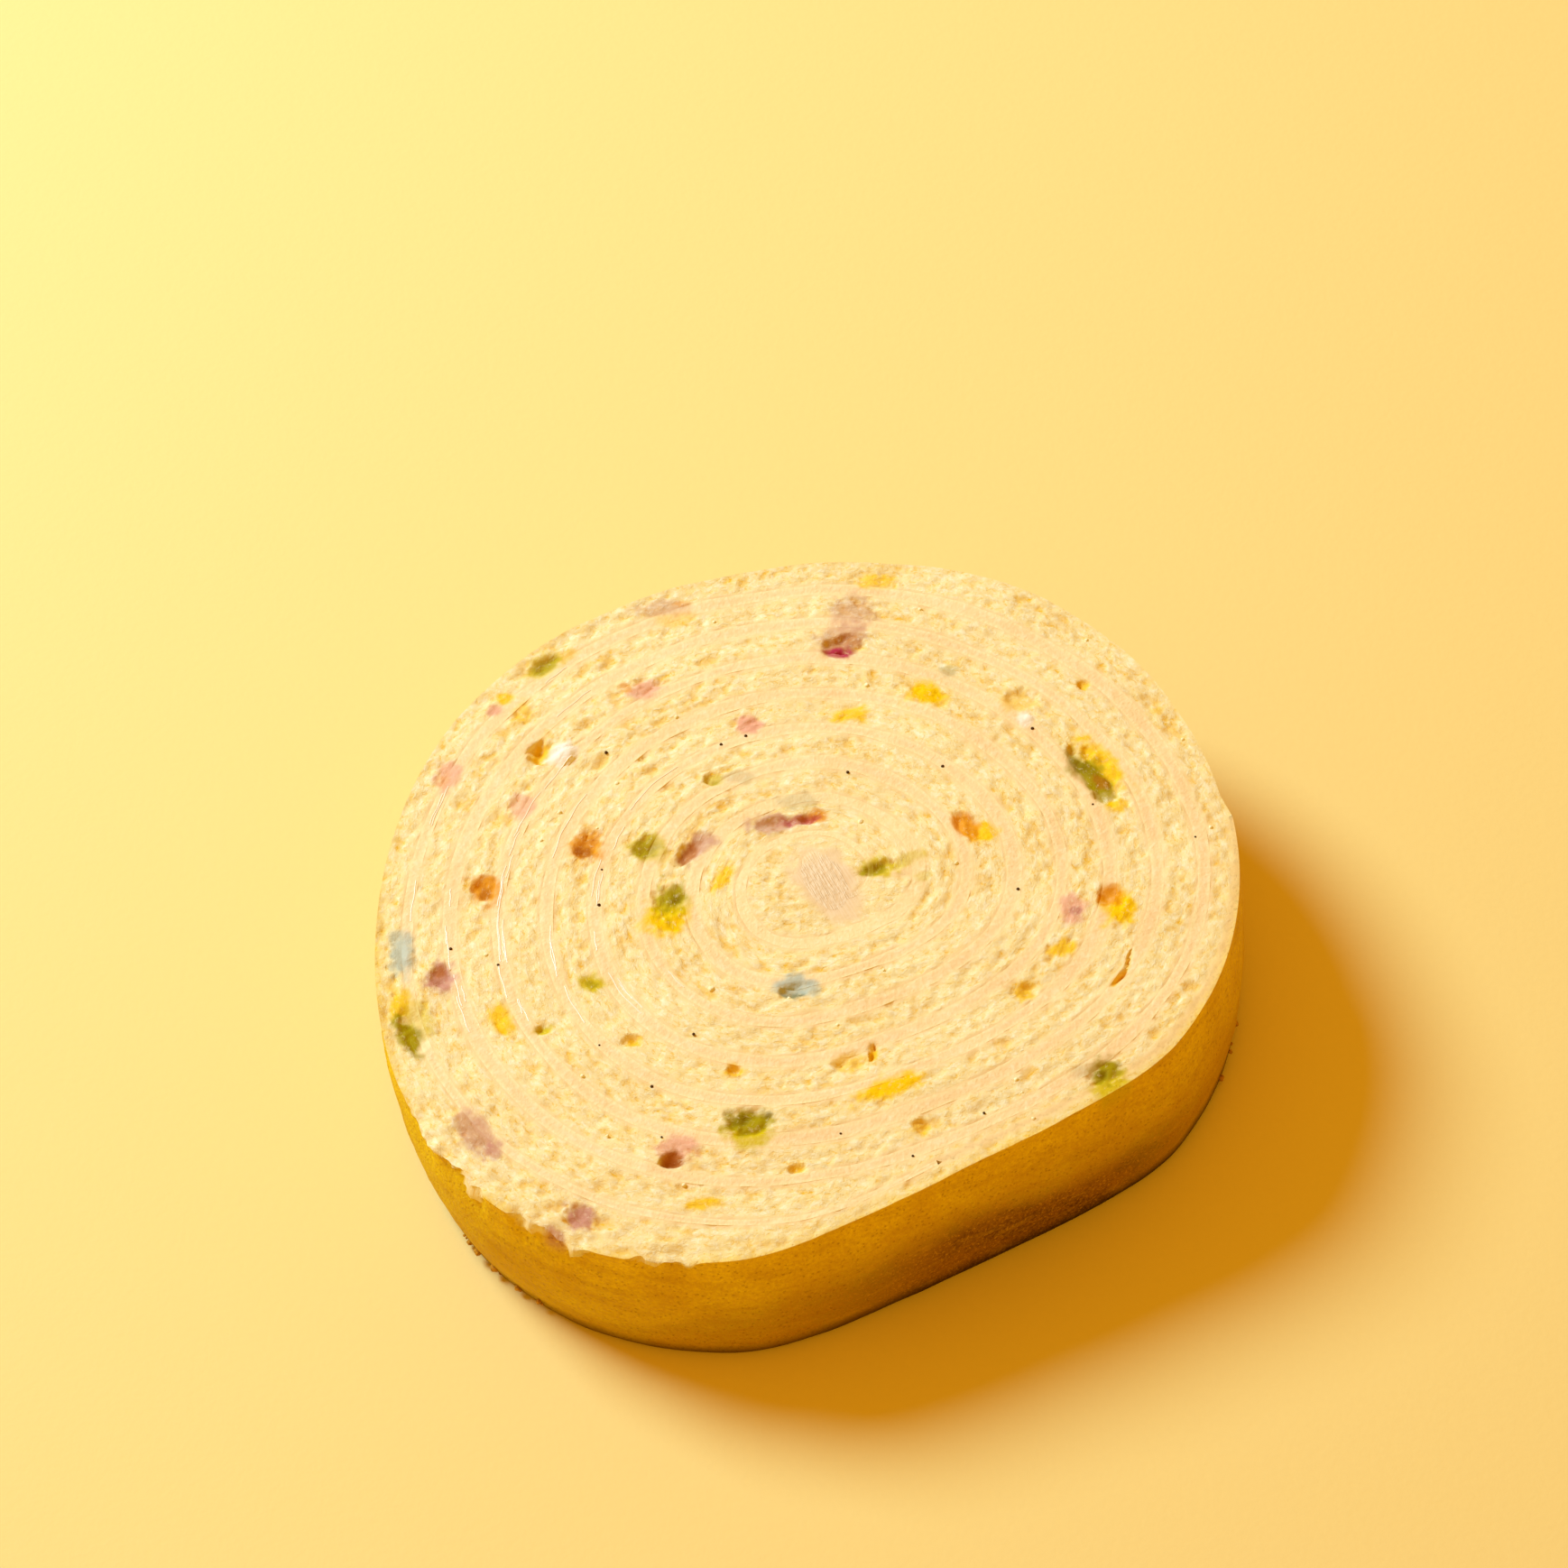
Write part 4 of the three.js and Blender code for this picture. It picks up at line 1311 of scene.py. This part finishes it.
def cream_finish(crumb, cream):
    """Dense smooth cream, drawn into fine lines by the knife."""
    material, net = new_material("cream_filling")
    grain, speck = net.grain(0.5, 0.3, 0.7), net.grain(0.7, 0.5, 0.68)
    lines = net.use("Knife Lines", Spacing=KNIFE_SPACING)["Mask"]
    base = net.layered(
        cream.cream,
        (net.grain(3.5)["Mask"] * 0.35, crumb.pale),
        (net.attribute("edge"), crumb.pale),
        (speck["Mask"] * 0.35, crumb.light),
        (net.attribute("core"), cream.milk),
        (lines * 0.28, cream.streak),
    )
    stain = net.use("Sweet Stain", Base=base, Mottle_Size=0.7 * MM, Mottle=0.14)
    roughness = (grain["Mask"] + lines).ramp(0.0, 1.6, 0.65, 0.45)
    relief = grain["Height"] + lines * 0.4 + speck["Height"] * 0.8
    return surfaced(material, net, stain["Color"], roughness, relief, distance=0.09 * MM, specular=0.3)


def plain_finish(name, colour, spread, roughness, size_mm, relief_mm, specular=0.5):
    """A finish for small things: one colour, mottled, with fine relief."""
    material, net = new_material(name)
    grain = net.grain(size_mm, 0.3, 0.7)
    base = net.mix(grain["Mask"], colour, spread)
    uneven = grain["Mask"].ramp(0.0, 1.0, *roughness)
    return surfaced(material, net, base, uneven, grain["Height"], relief_mm * MM, specular)


# ---------------------------------------------------------------- operators


class PointRows:
    """Mesh points, row by row, with the values that each of them carries."""

    def __init__(self):
        self.rows, self.count = [], 0

    def add(self, plan, places, cut=0.0, skin=0.0, dull=0.0, glow=0.0):
        """Adds a row, and gives the number of its first point."""
        start, self.count = self.count, self.count + len(plan)
        self.rows.append((plan, places, *(np.broadcast_to(v, len(plan)) for v in (cut, skin, dull, glow))))
        return start

    def joined(self):
        return [np.concatenate(column) for column in zip(*self.rows)]


class SWISSROLL_OT_sponge(Operator):
    """Builds the wound sponge with its open crumb, torn edge and golden skin"""

    bl_idname = "swissroll.sponge"
    bl_label = "Sponge"

    def execute(self, context):
        roll = context.scene.swiss_roll
        crumb = roll.crumb
        piece = show(self.shell(roll.sizes, crumb, roll.sweets), "sponge_crumb")
        reliefs = ("Cell Size", "Cell Depth", "Hole Size", "Hole Depth", "Grain Depth")
        values = {name: getattr(crumb, name.lower().replace(" ", "_")) / MM for name in reliefs}
        finish = sponge_finish(crumb, roll.cream)
        applied(piece, crumb_tree(), {**values, "Seed": float(crumb.seed), "Material": finish})
        shade(piece.data, sharp_from=62)
        finish_piece(piece, "sponge", "sponge")
        return {"FINISHED"}

    def shell(self, sizes, crumb, sweets):
        """The closed mesh of the sponge: its upper cut, its walls and its lower cut."""
        plan, on_rim, faces = upper_cut(sizes, crumb)
        edges = border_edges(faces)
        index, low_plan, low_names, low_faces = lower_cut(sizes, plan, edges, LOWER_SPACING, crumb.seed + 2)
        border = sorted(index)
        rim = np.array([i for i in border if on_rim[i]])
        slot = np.array([i for i in border if not on_rim[i]])
        rows = PointRows()
        top = self.add_top(rows, sizes, plan, on_rim)
        below = self.add_walls(rows, sizes, plan, top, rim, slot)
        quads = []
        for a, b in edges.tolist():
            for row in range(WALL_ROWS if on_rim[a] and on_rim[b] else 1):
                upper = [below[(v, row)] if row else v for v in (a, b)]
                lower = [below[(v, row + 1)] for v in (a, b)]
                quads.append([upper[1], upper[0], lower[0], lower[1]])

        # Lower cut: its border points are the feet of the walls.
        feet = {index[i]: below[(i, WALL_ROWS if on_rim[i] else 1)] for i in border}
        used = np.unique(low_faces).tolist()
        loose = [i for i in used if not 0 <= low_names[i] < len(border)]
        start = rows.add(low_plan[loose], leaned(sizes, low_plan[loose], np.zeros(len(loose))), cut=-0.6)
        low_index = {i: start + spot for spot, i in enumerate(loose)}
        names = {i: low_index.get(i, feet.get(int(low_names[i]))) for i in used}
        low_triangles = [[names[c], names[b], names[a]] for a, b, c in low_faces.tolist()]

        plan, places, cut, skin, dull, glow = rows.joined()
        mesh = build_mesh("sponge_crumb", places, faces.tolist() + quads + low_triangles)
        along, across = wound_place(sizes, plan)
        add_values(mesh, "wound", np.column_stack([along / 1.4, across, places[:, 2] / 8]), "FLOAT_VECTOR")
        for name, values in (("cut", cut), ("skin", skin), ("dull", dull), ("glow", glow)):
            add_values(mesh, name, values)
        away = np.maximum(cream_distance(sizes, plan), 0)
        seam = np.exp(-((seam_distance(sizes, plan) / 0.5) ** 2))
        spread = np.maximum(0.2 + 0.28 * rough_noise(*plan.T, 1.6, 83), 0.05)
        core = core_share(plan)
        soak = np.where(skin < 0.5, np.maximum.reduce([np.exp(-away / spread), core, seam]), 0)
        add_values(mesh, "soak", soak)
        add_values(mesh, "core", core)
        dye = stain_colours(sweets, plan) * dye_fade(sizes, plan, places[:, 2])
        add_values(mesh, "dye", dye, "FLOAT_COLOR")
        return mesh

    def add_top(self, rows, sizes, plan, on_rim):
        """The upper cut, which turns golden where it meets the skin."""
        places = on_cut(sizes, plan)
        radius, angle = to_polar(plan)
        room = np.maximum(rim_radius(angle) - radius, 0)
        cut = np.where(on_rim, 0.25, 0.4 + 0.6 * smooth_step(room, 0.0, 0.7))
        shown = 0.2 + 0.8 * smooth_step(-np.sin(angle), -0.35, 0.25)
        golden = (1 - torn_share(angle)) * shown * np.exp(-room / 0.8)
        # Painted highlight on the cut, fading in from the rim.
        rows.add(plan, places, cut, skin=0.56 * golden, glow=np.exp(-room))
        return places

    def add_walls(self, rows, sizes, plan, top, rim, slot):
        """Walls hang from the border: many rows round the rim and one in the slot."""
        numbers = {}
        edge = plan[rim]
        _radius, angle = to_polar(edge)
        out = edge / np.linalg.norm(edge, axis=1, keepdims=True)
        top_share = top[rim, 2] / top_height(sizes, edge[:, 0])
        turned_away = 0.35 + 0.65 * (0.5 - 0.5 * np.cos(angle - math.radians(LIT_AT)))
        for row in range(1, WALL_ROWS + 1):
            way = row / WALL_ROWS
            share = top_share * (1 - 0.5 * way**1.25 - 0.25 * (1 - math.cos(math.pi * way)))
            places = leaned(sizes, barrelled(sizes, edge, share), share)
            depth = top[rim, 2] - places[:, 2]
            push, skin, dull = self.wall_finish(angle, places[:, 2], depth)
            places[:, :2] += out * push[:, None]
            # Painted highlight fading down from the upper edge, less a painted contact shade near the foot
            # that is strongest on the side turned away from the key light.
            glow = np.exp(-depth / 1.6) - turned_away * (1 - smooth_step(places[:, 2], 0.1, 2.1))
            start = rows.add(edge, places, 0.0, skin, dull, glow)
            numbers.update({(i, row): start + spot for spot, i in enumerate(rim.tolist())})
        start = rows.add(plan[slot], leaned(sizes, plan[slot], np.zeros(len(slot))))
        numbers.update({(i, 1): start + spot for spot, i in enumerate(slot.tolist())})
        return numbers

    def wall_finish(self, angle, height, depth):
        """How far each wall point is pushed out, and how much skin and dull meal with painted shade it
        shows.
        """
        arc, at = rim_length(angle), in_degrees(angle)
        torn, reach = torn_share(angle), torn_depth(angle)
        skin = np.where(reach > 0.05, smooth_step(depth - reach, -0.1, 0.15), 1.0)
        crisp = np.clip(1 - np.abs(at - CRISP["at"]) / CRISP["reach"], 0, 1)
        dull = smooth_step((dull_height(angle) - height - 0.5 * (1 - crisp)) / (3.2 - 2.6 * crisp), -1, 1)
        # Painted shade: the meal darkens on the side turned away from the key light and towards the foot.
        shaded = np.exp(-(((at - SHADED_SIDE["at"]) / SHADED_SIDE["reach"]) ** 2))
        faint = (0.16 + 0.12 * shaded) * smooth_step(depth, 1.5, 8.0)
        dull = np.clip(faint + dull * (0.18 + 0.78 * shaded), 0, 1)
        creases = 0.16 * rough_noise(arc / 5, height, 1.9, 71) + 0.05 * value_noise(arc, height, 0.9, 75)
        crumbs = 0.35 * value_noise(arc, height, 0.8, 77)
        undercut = torn * np.exp(-np.maximum(depth - reach, 0) / 1.3)
        ends = np.clip(depth / 1.2, 0, 1) * np.clip(height / 1.5, 0, 1)
        ragged = (rim_radius(angle) - outline_radius(angle)) * (1 - np.exp(-depth / 0.9))
        uneven = 1 + 0.4 * value_noise(arc, 4.0, 3.1, 79)
        turned_under = 0.22 * (1 - smooth_step(height, -0.1, 0.7)) * uneven
        push = (creases - 0.18) * ends - 0.12 * dull * ends - ragged - turned_under
        return np.where(skin < 0.5, crumbs * torn - 0.5 * ragged, push - 0.35 * undercut), skin, dull


class SWISSROLL_OT_cream(Operator):
    """Builds the spiral of cream, its lump at the hub and the streaks that the knife drew"""

    bl_idname = "swissroll.cream"
    bl_label = "Cream"

    def execute(self, context):
        roll = context.scene.swiss_roll
        sizes, cream = roll.sizes, roll.cream
        finish = cream_finish(roll.crumb, cream)
        for piece in (self.ribbon(sizes, finish), self.core(sizes, finish)):
            self.settle(sizes, piece, roll.sweets)
            finish_piece(piece, "filling", "filling")
        finish_piece(self.streaks(sizes, cream), "filling")
        return {"FINISHED"}

    def ribbon(self, sizes, finish):
        """The spiral, swept by its tree along the winding."""
        turns = coil_turns(sizes, RIBBON_STEP)
        count = len(turns)
        spine = polar(coil_radius(sizes, turns), turns * FULL_TURN)
        steps = np.linalg.norm(np.diff(spine, axis=0), axis=1)
        mesh = line_mesh("cream_spiral", [(x, y, 0.0) for x, y in spine], chain(0, count))
        radial = np.column_stack([polar(np.ones(count), turns * FULL_TURN), np.zeros(count)])
        add_values(mesh, "radial", radial, "FLOAT_VECTOR")
        add_values(mesh, "half", (cream_half_width(sizes, turns) + RIBBON_OVERLAP) * MM)
        add_values(mesh, "arc", np.concatenate([[0], np.cumsum(steps)]))

        corners = [(a, 1.0) for a in np.linspace(-1, 1, 7)]
        corners += [(1.0, 0.9), (1.0, 0.0), (0.0, 0.0), (-1.0, 0.0), (-1.0, 0.9)]
        ring = ring_edges(0, len(corners)).tolist()
        section = line_mesh("cream_section", [(a, up, 0.0) for a, up in corners], ring)
        add_values(section, "across", [a for a, _up in corners])
        add_values(section, "up", [up for _a, up in corners])
        profile = show(section, "cream_section")
        values = {
            "Section": profile,
            "Thickness": sizes.thickness,
            "Rise": sizes.rise,
            "Foot Scale": sizes.foot_scale,
            "Foot Shift": (*sizes.foot_shift, 0.0),
            "Hub": (*(HUB * MM), 0.0),
            "Ridge Height": 0.08 * MM,
            "Material": finish,
        }
        piece = applied(show(mesh, "cream_spiral"), ribbon_tree(), values)
        bpy.data.objects.remove(profile)
        bpy.data.meshes.remove(section)
        return piece

    def core(self, sizes, finish):
        """The lump of cream at the hub, as rings round its middle."""
        rings, sides = 11, 64
        rows = [core_ring(sides, 0.03, ring / rings) for ring in range(1, rings + 1)]
        middle = np.array([CORE[:2]])
        upper = np.concatenate([middle, *rows])
        top = leaned(sizes, upper, np.ones(len(upper)))
        foot = leaned(sizes, rows[-1], np.zeros(sides))
        base = leaned(sizes, middle, np.zeros(1))
        ends = [1 + ring * sides for ring in range(rings + 1)]
        faces = [[0, 1 + i, 1 + (i + 1) % sides] for i in range(sides)]
        for inner, outer in zip(ends, ends[1:]):
            for i, j in ring_edges(0, sides).tolist():
                faces.append([inner + i, outer + i, outer + j, inner + j])
        faces += [[ends[-1] + sides, ends[-1] + j, ends[-1] + i] for i, j in ring_edges(0, sides).tolist()]
        mesh = build_mesh("cream_core", np.concatenate([top, foot, base]), faces)
        mesh.materials.append(finish)
        return show(mesh, "cream_core")

    def settle(self, sizes, piece, sweets):
        """Lays the cream into the same hollows and swells as the crumb, and stains it."""
        mesh = piece.data
        bm = bmesh.new()
        bm.from_mesh(mesh)
        bmesh.ops.recalc_face_normals(bm, faces=bm.faces)
        bm.to_mesh(mesh)
        bm.free()
        places = point_array(mesh) / MM
        plan = places[:, :2] - HUB
        on_top = places[:, 2] > 0.8 * top_height(sizes, plan[:, 0])
        places[:, 2] += np.where(on_top, swell_height(plan) + sunk_height(plan), 0)
        mesh.vertices.foreach_set("co", (places * MM).astype(np.float32).ravel())
        dye = stain_colours(sweets, plan) * dye_fade(sizes, plan, places[:, 2])
        add_values(mesh, "dye", dye, "FLOAT_COLOR")
        inside = -cream_distance(sizes, plan) + 0.13 * rough_noise(*plan.T, 1.3, 89)
        faint = 0.6 * (1 - smooth_step(np.hypot(*plan.T), 8.0, 13.0))
        add_values(mesh, "edge", np.maximum(0.8 * (1 - smooth_step(inside, 0.0, 0.42)), faint))
        add_values(mesh, "core", core_share(plan))
        shade(mesh, sharp_from=50)
        mesh.update()

    def streaks(self, sizes, cream):
        """Short glossy strands along the cream, thickest on the left of the slice."""
        random = np.random.default_rng(19)
        points, edges, taper = [], [], []
        for _streak in range(STREAKS):
            turn = random.integers(2, 8) + random.normal(0.5, 0.07)
            length = random.uniform(1.6, 6.0)
            if turn > COIL_TO - 0.3:
                continue
            span = length / (FULL_TURN * float(coil_radius(sizes, turn)))
            offset = random.uniform(-0.8, 0.8)
            drift = random.uniform(-0.25, 0.25)
            count = max(6, round(length / 0.4))
            share = np.linspace(0, 1, count)
            turns = turn + span * share
            aside = cream_half_width(sizes, turns) * (offset + drift * share)
            aside = aside + 0.05 * np.sin(share * 9 + turn)
            plan = polar(coil_radius(sizes, turns) + aside, turns * FULL_TURN)
            edges.extend(chain(len(points), count))
            points.extend(on_cut(sizes, plan, -0.04).tolist())
            thinned = np.sqrt(np.clip(np.sin(math.pi * np.clip(share, 0.03, 0.97)), 0, 1))
            taper.extend(thinned * random.uniform(0.5, 1.1))
        mesh = line_mesh("cream_streaks", points, edges)
        add_values(mesh, "taper", taper)
        looks = {"roughness": (0.3, 0.2), "size_mm": 0.6, "relief_mm": 0.01}
        # whitish finish: glossy strands, partly a painted highlight
        finish = plain_finish("cream_streak", cream.streak, srgb(255, 236, 200), **looks)
        values = {"Width": cream.streak_width, "Sides": 6, "Material": finish}
        return applied(show(mesh, "cream_streaks"), streak_tree(), values)


class SWISSROLL_OT_grains(Operator):
    """Scatters the vanilla seeds and the loose crumbs"""

    bl_idname = "swissroll.grains"
    bl_label = "Seeds and Crumbs"

    def execute(self, context):
        roll = context.scene.swiss_roll
        sizes, sweets, crumb = roll.sizes, roll.sweets, roll.crumb
        looks = {"roughness": (0.9, 0.8), "size_mm": 0.1, "relief_mm": 0.02, "specular": 0.05}
        dark = plain_finish("vanilla_seed", sweets.vanilla, srgb(104, 70, 34), **looks)
        looks = {"roughness": (0.8, 0.6), "size_mm": 0.25, "relief_mm": 0.04, "specular": 0.1}
        pale = plain_finish("loose_crumb", crumb.light, crumb.pale, **looks)
        brown = plain_finish("foot_crumb", srgb(150, 98, 26), srgb(228, 172, 48), **looks)
        seeds = on_cut(sizes, np.array(SEEDS), -0.02)
        crumbs = on_cut(sizes, self.crumb_plan(sizes), -0.06)
        # Name, places, size, least and greatest scale, unevenness, seed and finish.
        kinds = (
            ("vanilla_seeds", seeds, sweets.seed_size, 0.6, 1.15, 0.3, 3, dark),
            ("loose_crumbs", crumbs, 0.5 * MM, 0.4, 1.2, 0.5, 5, pale),
            ("foot_crumbs", self.foot_places(sizes), 0.6 * MM, 0.4, 1.4, 0.6, 7, brown),
        )
        inputs = ("Grain Size", "Least Scale", "Greatest Scale", "Unevenness", "Seed", "Material")
        tree = grain_tree()
        for name, places, *values in kinds:
            piece = show(line_mesh(name, places.tolist(), []), name)
            finish_piece(applied(piece, tree, dict(zip(inputs, values))), "sponge")
        return {"FINISHED"}

    def crumb_plan(self, sizes):
        """Crumbs on the sponge of the upper cut, a few here and there."""
        random = np.random.default_rng(23)
        angle = random.uniform(0, FULL_TURN, LOOSE_CRUMBS)
        plan = polar(np.sqrt(random.random(LOOSE_CRUMBS)) * (outline_radius(angle) - 1.0), angle)
        return plan[cream_distance(sizes, plan) > 0.25]

    def foot_places(self, sizes):
        """Crumbs that cling to the foot of the wall."""
        random = np.random.default_rng(29)
        angle = np.radians(np.concatenate([random.uniform(*span) for span in FOOT_CRUMBS]))
        height = random.uniform(0.5, 1.2, len(angle))
        share = height / (sizes.thickness / MM)
        plan = polar(outline_radius(angle) - 0.15 + 0.15 * height, angle)
        place = leaned(sizes, barrelled(sizes, plan, share), share)
        place[:, 2] = height
        return place


class SWISSROLL_OT_stage(Operator):
    """Sets the pale floor, the studio light and the camera"""

    bl_idname = "swissroll.stage"
    bl_label = "Floor, Light and Camera"

    def execute(self, context):
        scene, look = context.scene, context.scene.swiss_roll.stage
        mesh = bpy.data.meshes.new("floor")
        corners = [(x * FLOOR_REACH, y * FLOOR_REACH, 0.0) for x, y in ((-1, -1), (1, -1), (1, 1), (-1, 1))]
        mesh.from_pydata(corners, [], [(0, 1, 2, 3)])
        darker = tuple(c * 0.985 for c in look.floor)
        looks = {"roughness": (0.8, 0.75), "size_mm": 0.8, "relief_mm": 0.02}
        mesh.materials.append(plain_finish("floor_paper", look.floor, darker, **looks))
        show(mesh, "floor")
        self.key_light(look)
        self.sky(scene, look)
        self.camera(scene)
        scene.view_settings.view_transform = "Standard"
        return {"FINISHED"}

    def key_light(self, look):
        lamp = bpy.data.lights.new("key", "AREA")
        lamp.shape = "DISK"
        lamp.size, lamp.energy, lamp.color = look.key_size, look.key_power, look.key
        key = show(lamp, "key")
        towards = KEY_TOWARDS.normalized()
        key.location = towards * KEY_DISTANCE
        key.rotation_euler = towards.to_track_quat("Z", "Y").to_euler()

    def sky(self, scene, look):
        world = bpy.data.worlds.new("studio")
        world.use_nodes = True
        background = world.node_tree.nodes["Background"]
        background.inputs["Color"].default_value = (*look.sky, 1.0)
        background.inputs["Strength"].default_value = look.sky_strength
        scene.world = world

    def camera(self, scene):
        lens = bpy.data.cameras.new("camera")
        lens.lens = CAMERA_LENS
        lens.clip_end = 20.0
        camera = show(lens, "camera")
        camera.location = CAMERA_PLACE
        camera.rotation_euler = (CAMERA_TILT, 0.0, 0.0)
        scene.camera = camera


# ---------------------------------------------------------------- add-on


class SwissRoll(PropertyGroup):
    """Everything that can be set on the slice."""

    sizes: PointerProperty(type=SwissRollSizes)
    crumb: PointerProperty(type=SwissRollCrumb)
    cream: PointerProperty(type=SwissRollCream)
    sweets: PointerProperty(type=SwissRollSweets)
    stage: PointerProperty(type=SwissRollStage)


class SWISSROLL_PT_slice(Panel):
    """Lists the slice's operators"""

    bl_label = "Swiss Roll"
    bl_idname = "SWISSROLL_PT_slice"
    bl_space_type = "VIEW_3D"
    bl_region_type = "UI"
    bl_category = "Swiss Roll"

    def draw(self, context):
        for operator in OPERATORS:
            self.layout.operator(operator.bl_idname)


OPERATORS = (SWISSROLL_OT_stage, SWISSROLL_OT_sponge, SWISSROLL_OT_cream, SWISSROLL_OT_grains)
CLASSES = (
    SwissRollSizes,
    SwissRollCrumb,
    SwissRollCream,
    SwissRollSweets,
    SwissRollStage,
    SwissRoll,
    *OPERATORS,
    SWISSROLL_PT_slice,
)


def register():
    for cls in CLASSES:
        bpy.utils.register_class(cls)
    bpy.types.Scene.swiss_roll = PointerProperty(type=SwissRoll)


def unregister():
    del bpy.types.Scene.swiss_roll
    for cls in reversed(CLASSES):
        bpy.utils.unregister_class(cls)


def main():
    register()
    bpy.ops.swissroll.stage()
    bpy.ops.swissroll.sponge()
    bpy.ops.swissroll.cream()
    bpy.ops.swissroll.grains()


if __name__ == "__main__":
    main()
